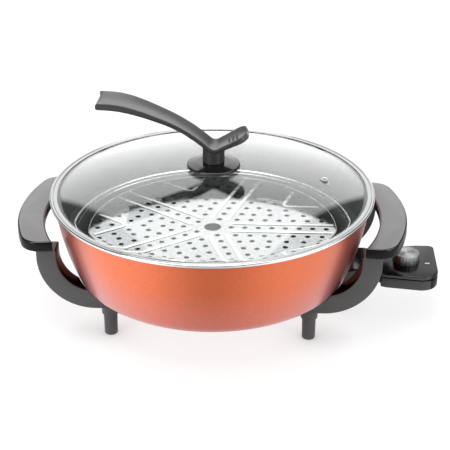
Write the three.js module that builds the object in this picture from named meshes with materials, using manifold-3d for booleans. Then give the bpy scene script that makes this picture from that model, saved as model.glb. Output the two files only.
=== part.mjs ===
// Electric hot pot: pan on four pegs, steam plate, glass lid with a lever handle, temperature control.
// Millimetres, +Z up. Sizes are written round the pan's axis; the finished group is moved to its own middle.
import * as THREE from 'three';
import { mergeVertices } from 'three/addons/utils/BufferGeometryUtils.js';
import Module from 'manifold-3d';

const wasm = await Module();
wasm.setup();

// Clearances and counts
const gap = 0.3;
const overrun = 2;
const weld = 0.0001;
const ringSteps = 32;
const domeSteps = 4;
const leverSteps = 9;
const valleySteps = 4;
const tubeSides = 8;
const smallSteps = 10;
const collarSteps = 16;
const arcSteps = 5;
const wallSteps = 4;
const cornerSteps = 3;

// Outer shell: a pressed bowl with a rolled edge
const shellRimR = 175;
const shellFlare = 41;
const shellFlatR = shellRimR - shellFlare;
const shellCornerR = 22;
const shellWall = 1.5;
const shellBelly = 2.8;
const shellBottomZ = 46.5;
const shellDepth = 96.8;
const shellRimZ = shellBottomZ + shellDepth;
const rollR = 1.7;
const cornerTurn = THREE.MathUtils.degToRad(67.6);

// Inner pot: a thicker bowl whose shelf meets the shell's wall
const potWall = 3;
const potRise = 15.5;
const potFloorZ = shellBottomZ + potRise;
const potInset = 12;
const potFloorR = shellFlatR - potInset;
const potCornerR = 22;
const shelfDepth = 42.2;
const shelfZ = shellRimZ - shelfDepth;
const shelfWidth = 19.1;
const shelfInnerR = shellRimR - shelfWidth;
const lipDrop = 3.3;

// Lid: a shallow glass dome in a rolled steel ring
const lidOverhang = 5;
const lidR = shellRimR + lidOverhang;
const lidSeat = 3.7;
const lidTopZ = shellRimZ + lidSeat;
const ringWall = 0.5;
const ringWidth = 8;
const glassWall = 3.2;
const glassEdge = 1.8;
const glassRise = 29;
const ringSkirt = 5;
const ventInset = 56;
const ventX = lidR - ventInset;
const ventR = 4.4;
const ventFlange = 1.8;
const ventFlangeH = 1.2;
const ventBoreR = 1.6;

// Lid handle: flange, neck, long curved arm and short arm
const flangeR = 29.5;
const flangeH = 5.6;
const flangeEdge = 2;
const neckR = 11.6;
const neckReach = 35;
const leverHalfWidth = 15;
const leverTipHalfWidth = 18;
const leverDepth = 6.6;
const troughDepth = 3;
const leverLip = 2.6;
const leverChamfer = 1.2;
const armReach = 122;
const armRise = 104.3;
const armTopZ = lidTopZ + armRise;
const armR = 177;
const armTurn = THREE.MathUtils.degToRad(42.5);
const valleyR = 8;
const shortRise = THREE.MathUtils.degToRad(30);
const shortReach = 38;
const shortEndR = 9;
const handleScrewR = 2.4;
const handleScrewHeadR = 5;
const handleScrewHeadH = 2.6;
const sealR = 16;
const sealH = 1.5;

// Steam plate: a perforated disc with raised ribs on three folded feet
const platePlay = 15.9;
const plateR = shelfInnerR - platePlay;
const plateStand = 36.8;
const plateTopZ = potFloorZ + plateStand;
const plateWall = 1;
const fingerHoleR = 9.5;
const holeR = 3;
const holeSides = 6;
const sectors = 5;
const channelHoles = 8;
const channelStartR = 21;
const channelInset = 12.25;
const channelPitch = (plateR - channelInset - channelStartR) / (channelHoles - 1);
const channelHalfWidth = 9.5;
const ribHalfWidth = 2;
const ribHeight = 1.8;
const ribStartR = 22;
const ribInset = 3;
const ribEndR = plateR - ribInset;
const bigRibReach = 35;
const bigRibEndR = plateR - ribInset * 3;
const bigRibApexR = bigRibEndR - bigRibReach;
const outerHoleInset = 26;
const outerHoleR = plateR - outerHoleInset;
const outerPairInset = 11;
const outerPairR = plateR - outerPairInset;
const outerPairHalf = 8;
const chevronRows = [
  { apex: 33, pitch: 16, count: 6 },
  { apex: 56, pitch: 19, count: 4 },
  { apex: 78, pitch: 19, count: 3 },
];
const footCount = 3;
const footInset = 14;
const footR = potFloorR - footInset;
const footWidth = 14;
const footWall = 1.2;
const footToe = 9;

// Struts, pegs and grips: the same on both sides
const gripLidGap = 7;
const gripDepth = 30;
const gripSpread = 13;
const gripInnerR = lidR + gripLidGap;
const gripReach = gripInnerR + gripDepth;
const gripOuterR = gripInnerR + gripSpread;
const gripDrop = 23.3;
const gripTopZ = shellRimZ - gripDrop;
const gripH = 12;
const gripHalfY = 86;
const strutFrontY = 80;
const strutWidth = 22;
const strutInset = 30.2;
const strutDepth = 22;
const strutDrop = 10;
const strutArcZ = gripTopZ - strutDepth;
const strutOuterR = strutArcZ - shellBottomZ + strutDrop;
const strutInnerR = strutOuterR - strutDepth;
const strutOutX = gripReach - strutInset;
const strutArcX = strutOutX - strutOuterR;
const shellGap = 0.6;
const legInset = 24;
const legX = shellFlatR - legInset;
const strutRootX = Math.min(legX, strutArcX);
const collarR = 10;
const collarH = 20.5;
const collarBottomZ = shellBottomZ - collarH;
const pegR = 7.6;
const pegRound = 2;
const spigotR = 4.6;
const spigotH = 8;
const legScrewR = 2;
const legScrewHeadR = 3.6;
const legScrewHeadZ = 6;
const legScrewHeadH = 2.4;
const screwPlay = 0.4;
const barHalfWidth = 5;
const barInset = 6;
const barHalfLength = strutFrontY - barInset;
const barWall = 2.5;
const barSeat = 0.6;
const gripCornerR = 22;
const gripBevel = 1.5;
const gripScrewR = 1.6;
const gripScrewHeadR = 3.4;
const gripScrewHeadH = 2;
const gripScrewBite = 8;
const gripScrewSeat = 12;

// Heating element, terminals and probe well
const elementInset = 37;
const elementR = potFloorR - elementInset;
const elementTubeR = 3.2;
const elementBendR = 9.6;
const pinSpread = 10;
const pinR = 2.2;
const wellInnerR = 3.4;
const wellWall = 1;
const wellLength = 22;
const wellInset = 2;
const blockInset = 7;
const blockLength = 15;
const blockStartX = shellFlatR + blockInset;
const blockEndX = blockStartX + blockLength;
const wellEndX = blockStartX - wellInset;
const wellStartX = wellEndX - wellLength;
const pinProud = 18;
const pinReach = blockEndX + pinProud;
const blockHalfY = 15.5;
const blockH = 10.6;
const wallCutPlay = 0.5;

// Terminal shroud: a dark box on the shell, open towards the control
const shroudHalfY = 27;
const shroudDrop = 3.1;
const shroudH = 20.6;
const shroudBottomZ = shellBottomZ - shroudDrop;
const shroudTopZ = shroudBottomZ + shroudH;
const shroudWall = 2.2;
const shroudRootInset = 1;
const shroudBackGap = 4;
const shroudMouthDepth = 16;
const shroudInX = blockStartX - shroudRootInset;
const shroudBackX = blockEndX + shroudBackGap;
const shroudEndX = shroudBackX + shroudMouthDepth;

// Temperature control
const controlLift = 1.6;
const controlH = 17;
const controlBaseH = 12;
const controlRoof = 1.6;
const controlBottomZ = shroudBottomZ + controlLift;
const controlTopZ = controlBottomZ + controlH;
const controlSplitZ = controlBottomZ + controlBaseH;
const controlGap = 14;
const controlLength = 64;
const controlCornerR = 20;
const controlFarR = 6;
const controlShoulder = 7;
const controlStartX = shroudEndX + controlGap;
const controlEndX = controlStartX + controlLength;
const controlWideX = controlEndX - controlCornerR;
const controlShoulderX = controlStartX + controlShoulder;
const controlStartHalf = 31;
const controlShoulderHalf = 33.5;
const controlWideHalf = 39;
const controlWall = 2.4;
const noseInset = 1;
const noseStartX = shroudBackX + noseInset;
const noseFit = 0.6;
const socketBoreR = 3.5;
const socketR = 3.2;
const socketInnerR = 2.6;
const socketInset = 2;
const socketPast = 4;
const socketStartX = noseStartX + socketInset;
const socketEndX = pinReach + socketPast;
const probeR = 3;
const probeTipGap = 4;
const probeSeat = 10;
const probeTipX = wellStartX + probeTipGap;
const probeEndX = socketEndX + probeSeat;
const knobInset = 29.5;
const knobX = controlStartX + knobInset;
const knobR = 14.7;
const knobProud = 11;
const knobTopZ = controlTopZ + knobProud;
const knobSides = 20;
const recessR = 16;
const recessDepth = 2.4;
const knobSkirtGap = 0.4;
const knobDiscR = 13.2;
const knobDiscH = 0.8;
const shaftR = 3;
const shaftPlay = 0.4;
const shaftFootLift = 4.4;
const shaftFootZ = controlBottomZ + shaftFootLift;
const shaftSocket = 8;
const pilotReach = 23.9;
const pilotX = knobX + pilotReach;
const pilotY = -5.4;
const pilotLength = 6;
const pilotWidth = 2;
const pilotProud = 0.3;
const pilotDepth = 1.6;
const contactInset = 6;
const contactStartX = controlStartX + contactInset;
const contactWidth = 9;
const contactWall = 0.8;
const contactLift = 3.4;
const contactZ = controlBottomZ + contactLift;
const housingScrewInset = 52;
const housingScrewX = controlStartX + housingScrewInset;
const housingScrewY = 24;
const housingScrewR = 1.5;
const housingScrewHeadR = 2.9;
const housingScrewHeadH = 1.8;
const postR = 4.2;
const bushInset = 42;
const bushX = controlStartX + bushInset;
const bushZ = (controlBottomZ + controlSplitZ) / 2;
const bushR = 4.6;
const bushBoreR = 2.9;
const bushSeat = 6;
const bushLength = 13;
const bushStartY = controlWideHalf - bushSeat;
const bushEndY = bushStartY + bushLength;

// Materials
const paint = (colour, roughness, metalness) =>
  new THREE.MeshStandardMaterial({ color: colour, roughness, metalness });
const copperPaint = paint(0xc8603c, 0.3, 0.6);
const nonStick = paint(0x2f3032, 0.5, 0.2);
const steel = paint(0xd2d4d4, 0.15, 1);
const castSteel = paint(0x9a9c9e, 0.4, 1);
const clearGlass = paint(0xdfe8e8, 0.05, 0);
const blackPlastic = paint(0x1c1d1e, 0.3, 0);
const greyPlastic = paint(0x4a4b4c, 0.5, 0);
const silver = paint(0xb4b8ba, 0.35, 0.8);
const brass = paint(0xc0a050, 0.35, 1);
const rubber = paint(0x303030, 0.8, 0);
const ceramic = paint(0xe8e2d4, 0.6, 0);
const white = paint(0xf2f2ee, 0.4, 0);

// Booleans on closed meshes
function toSolid(geometry) {
  const bare = geometry.clone();
  bare.deleteAttribute('normal');
  bare.deleteAttribute('uv');
  const merged = mergeVertices(bare, weld);
  const mesh = new wasm.Mesh({
    numProp: 3,
    vertProperties: new Float32Array(merged.attributes.position.array),
    triVerts: new Uint32Array(merged.index.array),
  });
  mesh.merge();
  return new wasm.Manifold(mesh);
}
function toGeometry(solid) {
  const mesh = solid.getMesh();
  const geometry = new THREE.BufferGeometry();
  geometry.setAttribute('position', new THREE.BufferAttribute(new Float32Array(mesh.vertProperties), 3));
  geometry.setIndex(new THREE.BufferAttribute(new Uint32Array(mesh.triVerts), 1));
  geometry.computeVertexNormals();
  return geometry;
}
const cutAway = (solid, tools) => tools.reduce((left, tool) => left.subtract(tool), solid);
const joinAll = (solids) => solids.reduce((whole, one) => whole.add(one));

// Basic closed shapes
function box(x0, x1, y0, y1, z0, z1) {
  const shape = new THREE.BoxGeometry(x1 - x0, y1 - y0, z1 - z0);
  return shape.translate((x0 + x1) / 2, (y0 + y1) / 2, (z0 + z1) / 2);
}
function rod(radius, z0, z1, sides = smallSteps) {
  const shape = new THREE.CylinderGeometry(radius, radius, z1 - z0, sides);
  return shape.rotateX(Math.PI / 2).translate(0, 0, (z0 + z1) / 2);
}
const rodAlongX = (radius, x0, x1, sides = smallSteps) => rod(radius, x0, x1, sides).rotateY(Math.PI / 2);
const rodAlongY = (radius, y0, y1, sides = smallSteps) => rod(radius, -y1, -y0, sides).rotateX(Math.PI / 2);
function turned(points, steps = ringSteps) {
  const profile = points.map(([r, z]) => new THREE.Vector2(r, z));
  return new THREE.LatheGeometry(profile, steps).rotateX(Math.PI / 2);
}
function extruded(shape, depth, options = {}) {
  const plain = { depth, bevelEnabled: false, curveSegments: arcSteps };
  return new THREE.ExtrudeGeometry(shape, { ...plain, ...options });
}
function standing(shape, y0, y1) {
  return extruded(shape, y1 - y0).rotateX(Math.PI / 2).translate(0, y1, 0);
}
function arcPoints(cx, cz, radius, from, to, steps) {
  return Array.from({ length: steps + 1 }, (_, i) => {
    const angle = from + ((to - from) * i) / steps;
    return [cx + radius * Math.cos(angle), cz + radius * Math.sin(angle)];
  });
}
function bowed(start, end, sagitta, steps) {
  const [dx, dz] = [end[0] - start[0], end[1] - start[1]];
  const length = Math.hypot(dx, dz);
  return Array.from({ length: steps + 1 }, (_, i) => {
    const t = i / steps;
    const bow = 4 * sagitta * t * (1 - t);
    return [start[0] + dx * t + (bow * dz) / length, start[1] + dz * t - (bow * dx) / length];
  });
}
function offsetInward(points, distance) {
  return points.map(([r, z], i) => {
    const before = points[Math.max(i - 1, 0)];
    const after = points[Math.min(i + 1, points.length - 1)];
    const [dr, dz] = [after[0] - before[0], after[1] - before[1]];
    const length = Math.hypot(dr, dz);
    return [r - (distance * dz) / length, z + (distance * dr) / length];
  });
}

// The group and its named meshes
const part = new THREE.Group();
function place(name, geometry, material, position = [0, 0, 0]) {
  const mesh = new THREE.Mesh(geometry, material);
  mesh.name = name;
  mesh.position.set(...position);
  part.add(mesh);
}

// Outer shell: corner arc, bowed wall, rolled edge, then back down inside
const cornerZ = shellBottomZ + shellCornerR;
const down = -Math.PI / 2;
const corner = arcPoints(shellFlatR, cornerZ, shellCornerR, down, cornerTurn + down, cornerSteps);
const rollZ = shellRimZ - rollR;
const wallTop = [shellRimR, rollZ - rollR];
const wallCurve = bowed(corner[corner.length - 1], wallTop, shellBelly, wallSteps);
const outerCurve = [...corner, ...wallCurve.slice(1)];
const innerCurve = offsetInward(outerCurve, shellWall);
innerCurve[0] = [shellFlatR, shellBottomZ + shellWall];
const rollCurve = arcPoints(shellRimR, rollZ, rollR, -Math.PI / 4, Math.PI / 2, cornerSteps);
const shellProfile = [
  [0, shellBottomZ],
  ...outerCurve,
  ...rollCurve,
  [shellRimR - shellWall, shellRimZ],
  ...innerCurve.reverse(),
  [0, shellBottomZ + shellWall],
];
function radiusOn(curve, z) {
  for (let i = 1; i < curve.length; i += 1) {
    const [lower, upper] = [curve[i - 1], curve[i]];
    const along = (z - lower[1]) / (upper[1] - lower[1]);
    if (along <= 1) return lower[0] + (upper[0] - lower[0]) * along;
  }
  return curve[curve.length - 1][0];
}
const shellInnerUp = [...innerCurve].reverse();
const legY = strutFrontY - strutWidth / 2;
const corners = [[-1, -1, 'left_front'], [-1, 1, 'left_rear'], [1, -1, 'right_front'], [1, 1, 'right_rear']];
const legSpots = corners.map(([sx, sy, name]) => ({ x: sx * legX, y: sy * legY, sx, sy, name }));
const pinZ = potFloorZ - potWall - gap - elementTubeR;
const wellR = wellInnerR + wellWall;
const probeZ = potFloorZ - potWall - gap - wellR;
const shellFloorTop = shellBottomZ + shellWall;
const shellHoles = legSpots.map(({ x, y }) =>
  toSolid(rod(legScrewR + screwPlay, shellBottomZ - overrun, shellFloorTop + overrun).translate(x, y, 0)));
const blockBottomZ = pinZ - blockH / 2;
const wallCut = toSolid(box(blockStartX - overrun, blockEndX + shellWall + overrun,
  -blockHalfY - wallCutPlay, blockHalfY + wallCutPlay,
  blockBottomZ - wallCutPlay, blockBottomZ + blockH + wallCutPlay));
const shellSolid = cutAway(toSolid(turned(shellProfile)), [...shellHoles, wallCut]);
place('outer_shell', toGeometry(shellSolid), copperPaint);

// Inner pot: floor, corner, steep wall, lip, shelf out to the shell's wall, and the same way back below
const lipR = shelfInnerR - lipDrop;
const potCornerZ = potFloorZ + potCornerR;
const potRim = radiusOn(shellInnerUp, shelfZ - potWall) - gap;
const potInner = [
  ...arcPoints(potFloorR, potCornerZ, potCornerR, down, 0, cornerSteps),
  [lipR, shelfZ - lipDrop],
  [shelfInnerR, shelfZ],
];
const potOuter = [
  [potRim, shelfZ - potWall],
  [shelfInnerR + potWall, shelfZ - potWall],
  [lipR + potWall, shelfZ - potWall - lipDrop],
  [potFloorR + potCornerR + potWall, potCornerZ],
  ...arcPoints(potFloorR, potCornerZ, potCornerR + potWall, 0, down, cornerSteps).slice(1),
];
const potProfile = [[0, potFloorZ], ...potInner, [potRim, shelfZ], ...potOuter, [0, potFloorZ - potWall]];
place('inner_pot', turned(potProfile.reverse()), nonStick);

// Heating element: an open ring whose two ends run out to the terminal pins
const ringStart = Math.asin((pinSpread + elementBendR) / (elementR + elementBendR));
const elementRing = arcPoints(0, 0, elementR, ringStart, 2 * Math.PI - ringStart, ringSteps);
const elementRoute = [
  [blockStartX - gap, pinSpread],
  [elementR + elementBendR * 2, pinSpread],
  ...elementRing,
  [elementR + elementBendR * 2, -pinSpread],
  [blockStartX - gap, -pinSpread],
].map(([x, y]) => new THREE.Vector3(x, y, 0));
function tubeAlong(points, radius, sides) {
  const positions = [];
  const faces = [];
  points.forEach((point, i) => {
    const before = points[Math.max(i - 1, 0)];
    const after = points[Math.min(i + 1, points.length - 1)];
    const along = after.clone().sub(before).normalize();
    const across = new THREE.Vector3(-along.y, along.x, 0);
    for (let k = 0; k < sides; k += 1) {
      const angle = (2 * Math.PI * k) / sides;
      const spot = point.clone().addScaledVector(across, radius * Math.cos(angle));
      positions.push(spot.x, spot.y, spot.z + radius * Math.sin(angle));
    }
  });
  for (let i = 0; i < points.length - 1; i += 1) {
    for (let k = 0; k < sides; k += 1) {
      const [a, b] = [i * sides + k, i * sides + ((k + 1) % sides)];
      faces.push(a, b, a + sides, b, b + sides, a + sides);
    }
  }
  const last = (points.length - 1) * sides;
  for (let k = 1; k < sides - 1; k += 1) {
    faces.push(0, k + 1, k, last, last + k, last + k + 1);
  }
  const geometry = new THREE.BufferGeometry();
  geometry.setAttribute('position', new THREE.Float32BufferAttribute(positions, 3));
  geometry.setIndex(faces);
  geometry.computeVertexNormals();
  return geometry;
}
place('heating_element', tubeAlong(elementRoute, elementTubeR, tubeSides), castSteel, [0, 0, pinZ]);

// Terminal block in the wall's cut-out, with its two pins and the probe well behind it
const probePass = toSolid(rodAlongX(probeR + screwPlay, blockStartX - overrun, blockEndX + overrun));
const pinPasses = [-1, 1].map((side) =>
  toSolid(rodAlongX(pinR + screwPlay, blockStartX - overrun, blockEndX + overrun)
    .translate(0, side * pinSpread, pinZ)));
const blockBody = toSolid(box(blockStartX, blockEndX, -blockHalfY, blockHalfY,
  blockBottomZ, blockBottomZ + blockH));
const blockSolid = cutAway(blockBody, [probePass.translate([0, 0, probeZ]), ...pinPasses]);
place('terminal_block', toGeometry(blockSolid), ceramic);
[-1, 1].forEach((side, i) => {
  const pin = rodAlongX(pinR, blockStartX, pinReach);
  place(`terminal_pin_${i + 1}`, pin, steel, [0, side * pinSpread, pinZ]);
});
const wellTube = toSolid(rodAlongX(wellR, wellStartX, wellEndX))
  .subtract(toSolid(rodAlongX(wellInnerR, wellStartX + wellWall, wellEndX + overrun)));
place('probe_well', toGeometry(wellTube), castSteel, [0, 0, probeZ]);

// The shell's outside grown by a clearance, as the tool that struts and shroud are cut with
const grownCurve = offsetInward(outerCurve, -shellGap);
grownCurve[0] = [shellFlatR, shellBottomZ - shellGap];
const shellRoom = toSolid(turned([[0, shellBottomZ - shellGap], ...grownCurve, [0, shellRimZ]]));

// Terminal shroud: box with a mouth for the control's nose and a back wall with a window
const mouthHalfY = shroudHalfY - shroudWall;
const mouthBottomZ = shroudBottomZ + shroudWall;
const mouthTopZ = shroudTopZ - shroudWall;
const shroudBody = toSolid(box(shroudInX, shroudEndX, -shroudHalfY, shroudHalfY, shroudBottomZ, shroudTopZ));
const shroudMouth = toSolid(box(shroudBackX, shroudEndX + overrun,
  -mouthHalfY, mouthHalfY, mouthBottomZ, mouthTopZ));
const shroudWindow = toSolid(box(shroudInX - overrun, shroudBackX + overrun,
  -blockHalfY - wallCutPlay, blockHalfY + wallCutPlay,
  blockBottomZ - wallCutPlay, blockBottomZ + blockH + wallCutPlay));
const shroudSolid = cutAway(shroudBody, [shroudMouth, shroudWindow, shellRoom]);
place('terminal_shroud', toGeometry(shroudSolid), blackPlastic);

// Mounting bars inside the shell, over the pegs
const barBottomZ = shellBottomZ + shellWall + barSeat;
['left', 'right'].forEach((name, i) => {
  const x = (i === 0 ? -1 : 1) * legX;
  const bar = toSolid(box(x - barHalfWidth, x + barHalfWidth, -barHalfLength, barHalfLength,
    barBottomZ, barBottomZ + barWall));
  const hole = toSolid(rod(legScrewR + screwPlay, barBottomZ - overrun, barBottomZ + barWall + overrun));
  const holes = [-1, 1].map((end) => hole.translate([x, end * legY, 0]));
  place(`${name}_mounting_bar`, toGeometry(cutAway(bar, holes)), castSteel);
});

// Struts: a C in the XZ plane from the grip down and in to a collar round the peg's spigot
const gripBottomZ = gripTopZ - gripH;
const strutTopZ = gripBottomZ - gap;
const strutInX = strutArcX + strutInnerR;
function strutShape() {
  const shape = new THREE.Shape();
  shape.moveTo(strutOutX, strutTopZ);
  shape.lineTo(strutInX, strutTopZ);
  shape.lineTo(strutInX, strutArcZ);
  shape.absarc(strutArcX, strutArcZ, strutInnerR, 0, -Math.PI / 2, true);
  shape.lineTo(strutRootX, strutArcZ - strutInnerR);
  shape.lineTo(strutRootX, strutArcZ - strutOuterR);
  shape.lineTo(strutArcX, strutArcZ - strutOuterR);
  shape.absarc(strutArcX, strutArcZ, strutOuterR, -Math.PI / 2, 0, false);
  return shape;
}
const collarTopZ = shellBottomZ - shellGap;
const boreTopZ = collarBottomZ + spigotH + gap;
const gripScrewX = (strutOutX + strutInX) / 2;
const gripScrewSeatZ = strutTopZ - gripScrewSeat;
legSpots.forEach(({ x, y, sx, name }) => {
  const side = standing(strutShape(), -strutWidth / 2, strutWidth / 2);
  const arch = toSolid((sx > 0 ? side : side.rotateZ(Math.PI)).translate(0, y, 0));
  const collar = toSolid(rod(collarR, collarBottomZ, collarTopZ, collarSteps).translate(x, y, 0));
  const legBores = joinAll([
    toSolid(rod(spigotR + gap, collarBottomZ - overrun, boreTopZ)),
    toSolid(rod(legScrewR + screwPlay, collarBottomZ, collarTopZ + overrun)),
  ]);
  const gripBores = joinAll([
    toSolid(rod(gripScrewR + screwPlay, gripScrewSeatZ - overrun, strutTopZ + overrun)),
    toSolid(rod(gripScrewHeadR + gap, strutArcZ - strutOuterR, gripScrewSeatZ)),
  ]);
  const strut = cutAway(arch.add(collar), [
    shellRoom,
    legBores.translate([x, y, 0]),
    gripBores.translate([sx * gripScrewX, y, 0]),
  ]);
  place(`${name}_strut`, toGeometry(strut), greyPlastic);
});

// Foot pegs with a spigot in the collar, and the long screws that hold them
const pegTopZ = collarBottomZ - gap;
const spigotTopZ = collarBottomZ + spigotH;
legSpots.forEach(({ x, y, name }) => {
  const profile = [
    [0, 0],
    ...arcPoints(pegR - pegRound, pegRound, pegRound, -Math.PI / 2, 0, cornerSteps),
    [pegR, pegTopZ],
    [spigotR, pegTopZ],
    [spigotR, spigotTopZ],
    [0, spigotTopZ],
  ];
  const peg = cutAway(toSolid(turned(profile, smallSteps)), [
    toSolid(rod(legScrewR + screwPlay, -overrun, spigotTopZ + overrun)),
    toSolid(rod(legScrewHeadR + screwPlay, -overrun, legScrewHeadZ + legScrewHeadH)),
  ]);
  place(`${name}_peg`, toGeometry(peg), greyPlastic, [x, y, 0]);
});
legSpots.forEach(({ x, y, name }) => {
  const headTop = legScrewHeadZ + legScrewHeadH - gap;
  const profile = [
    [0, headTop - legScrewHeadH],
    [legScrewHeadR, headTop - legScrewHeadH],
    [legScrewHeadR, headTop],
    [legScrewR, headTop],
    [legScrewR, barBottomZ + barWall],
    [0, barBottomZ + barWall],
  ];
  place(`${name}_leg_screw`, turned(profile, smallSteps), steel, [x, y, 0]);
});

// Side grips: half-moon slabs concentric with the lid inside, with a flatter curve outside
function gripShape() {
  const outerCentre = gripReach - gripOuterR;
  const edgeY = gripHalfY - gripCornerR;
  const cornerReach = gripOuterR - gripCornerR;
  const edgeAngle = Math.asin(edgeY / cornerReach);
  const cornerX = outerCentre + cornerReach * Math.cos(edgeAngle);
  const innerAngle = Math.asin(gripHalfY / gripInnerR);
  const shape = new THREE.Shape();
  shape.absarc(0, 0, gripInnerR, innerAngle, -innerAngle, true);
  shape.lineTo(cornerX, -gripHalfY);
  shape.absarc(cornerX, -edgeY, gripCornerR, -Math.PI / 2, -edgeAngle, false);
  shape.absarc(outerCentre, 0, gripOuterR, -edgeAngle, edgeAngle, false);
  shape.absarc(cornerX, edgeY, gripCornerR, edgeAngle, Math.PI / 2, false);
  return shape;
}
const gripBite = gripScrewBite + gap;
['left', 'right'].forEach((name, i) => {
  const sx = i === 0 ? -1 : 1;
  const bevel = { bevelEnabled: true, bevelSize: gripBevel, bevelOffset: -gripBevel,
    bevelThickness: gripBevel, bevelSegments: 1 };
  const half = extruded(gripShape(), gripH - 2 * gripBevel, bevel).translate(0, 0, gripBottomZ + gripBevel);
  const holes = [-1, 1].map((side) => toSolid(rod(gripScrewR + screwPlay, gripBottomZ - overrun,
    gripBottomZ + gripBite).translate(sx * gripScrewX, side * legY, 0)));
  const body = toSolid(sx > 0 ? half : half.rotateZ(Math.PI));
  place(`${name}_grip`, toGeometry(cutAway(body, holes)), blackPlastic);
});
legSpots.forEach(({ y, sx, name }) => {
  const headTop = gripScrewSeatZ - gap;
  const profile = [
    [0, headTop - gripScrewHeadH],
    [gripScrewHeadR, headTop - gripScrewHeadH],
    [gripScrewHeadR, headTop],
    [gripScrewR, headTop],
    [gripScrewR, gripBottomZ + gripScrewBite],
    [0, gripBottomZ + gripScrewBite],
  ];
  place(`${name}_grip_screw`, turned(profile, smallSteps), steel, [sx * gripScrewX, y, 0]);
});

// Steam plate: holes in channels and chevrons, five times round, with raised ribs between them
const polar = (radius, angle, side = 0) => new THREE.Vector2(
  radius * Math.cos(angle) - side * Math.sin(angle), radius * Math.sin(angle) + side * Math.cos(angle));
const sectorAngle = (2 * Math.PI) / sectors;
const halfSector = sectorAngle / 2;
const holeSpots = [];
const ribLines = [];
for (let s = 0; s < sectors; s += 1) {
  const channel = s * sectorAngle;
  for (let i = 0; i < channelHoles; i += 1) holeSpots.push(polar(channelStartR + channelPitch * i, channel));
  [-1, 1].forEach((side) => {
    const aside = side * channelHalfWidth;
    ribLines.push([polar(ribStartR, channel, aside), polar(ribEndR, channel, aside)]);
  });
  const middle = channel + halfSector;
  const chevron = (apex, distance, side) =>
    polar(apex, middle).add(polar(distance, middle + side * halfSector));
  chevronRows.forEach(({ apex, pitch, count }) => {
    holeSpots.push(polar(apex, middle));
    for (let i = 1; i <= count; i += 1) {
      [-1, 1].forEach((side) => holeSpots.push(chevron(apex, pitch * i, side)));
    }
  });
  const tipDistance = (bigRibEndR - bigRibApexR) / Math.cos(halfSector);
  [-1, 1].forEach((side) => {
    ribLines.push([polar(bigRibApexR, middle), chevron(bigRibApexR, tipDistance, side)]);
  });
  holeSpots.push(polar(outerHoleR, middle));
  [-1, 1].forEach((side) => holeSpots.push(polar(outerPairR, middle, side * outerPairHalf)));
}
const plateEdge = plateR - holeR * 2;
const plateShape = new THREE.Shape();
plateShape.absarc(0, 0, plateR, 0, 2 * Math.PI, false);
const ringHole = (centre, radius, sides) => {
  const outline = Array.from({ length: sides }, (_, k) => {
    const angle = (-2 * Math.PI * k) / sides;
    return new THREE.Vector2(centre.x + radius * Math.cos(angle), centre.y + radius * Math.sin(angle));
  });
  return new THREE.Path(outline);
};
plateShape.holes.push(ringHole(new THREE.Vector2(0, 0), fingerHoleR, smallSteps));
holeSpots.filter((spot) => spot.length() < plateEdge)
  .forEach((spot) => plateShape.holes.push(ringHole(spot, holeR, holeSides)));
const plateBottomZ = plateTopZ - plateWall;
const flatDisc = extruded(plateShape, plateWall, { curveSegments: ringSteps });
const disc = toSolid(flatDisc.translate(0, 0, plateBottomZ));
const ribs = ribLines.map(([from, to]) => {
  const length = from.distanceTo(to);
  const section = new THREE.Shape();
  section.moveTo(-ribHalfWidth, -plateWall / 2);
  section.lineTo(ribHalfWidth, -plateWall / 2);
  section.lineTo(ribHalfWidth / 2, ribHeight);
  section.lineTo(-ribHalfWidth / 2, ribHeight);
  const bar = extruded(section, length).rotateX(Math.PI / 2).rotateZ(Math.PI);
  const turn = Math.atan2(to.y - from.y, to.x - from.x);
  return toSolid(bar.rotateZ(turn - Math.PI / 2).translate(from.x, from.y, plateTopZ));
});
place('steam_plate', toGeometry(joinAll([disc, ...ribs])), steel);
for (let i = 0; i < footCount; i += 1) {
  const [top, bottom] = [plateBottomZ - gap, potFloorZ + gap];
  const profile = new THREE.Shape();
  profile.moveTo(footR - footToe, top);
  profile.lineTo(footR, top);
  profile.lineTo(footR, bottom + footWall);
  profile.lineTo(footR + footToe, bottom + footWall);
  profile.lineTo(footR + footToe, bottom);
  profile.lineTo(footR - footWall, bottom);
  profile.lineTo(footR - footWall, top - footWall);
  profile.lineTo(footR - footToe, top - footWall);
  const foot = standing(profile, -footWidth / 2, footWidth / 2);
  place(`steam_plate_foot_${i + 1}`, foot.rotateZ(halfSector + (2 * Math.PI * i) / footCount), steel);
}

// Lid: dome of glass, steel ring round its edge, and the steam vent
const ringInnerR = lidR - ringWidth;
const glassR = lidR - ringWall - gap;
const glassTopZ = lidTopZ - ringWall - gap;
const ringBottomZ = glassTopZ - glassEdge - gap - ringWall;
const domeR = (ringInnerR ** 2 + glassRise ** 2) / (2 * glassRise);
const domeCentreZ = glassTopZ + glassRise - domeR;
const domeZ = (r, thick = 0) => domeCentreZ + Math.sqrt((domeR - thick) ** 2 - r ** 2);
const domeRing = ringInnerR - gap;
const domeLine = (thick) => Array.from({ length: domeSteps + 1 }, (_, i) => {
  const r = (domeRing * i) / domeSteps;
  return [r, domeZ(r, thick)];
});
const glassBottomZ = glassTopZ - glassEdge;
const glassUnder = domeLine(glassWall).filter(([, z]) => z > glassBottomZ);
const glassProfile = [
  ...glassUnder,
  [domeRing, glassBottomZ],
  [glassR, glassBottomZ],
  [glassR, glassTopZ],
  ...domeLine(0).reverse(),
];
const handleBore = handleScrewR + screwPlay;
const glassCuts = [
  toSolid(rod(handleBore, glassTopZ, domeZ(0) + overrun)),
  toSolid(rod(ventR + gap, glassBottomZ, domeZ(0) + overrun).translate(ventX, 0, 0)),
];
place('lid_glass', toGeometry(cutAway(toSolid(turned(glassProfile)), glassCuts)), clearGlass);
const ringRound = (lidTopZ - ringBottomZ) / 3;
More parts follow.
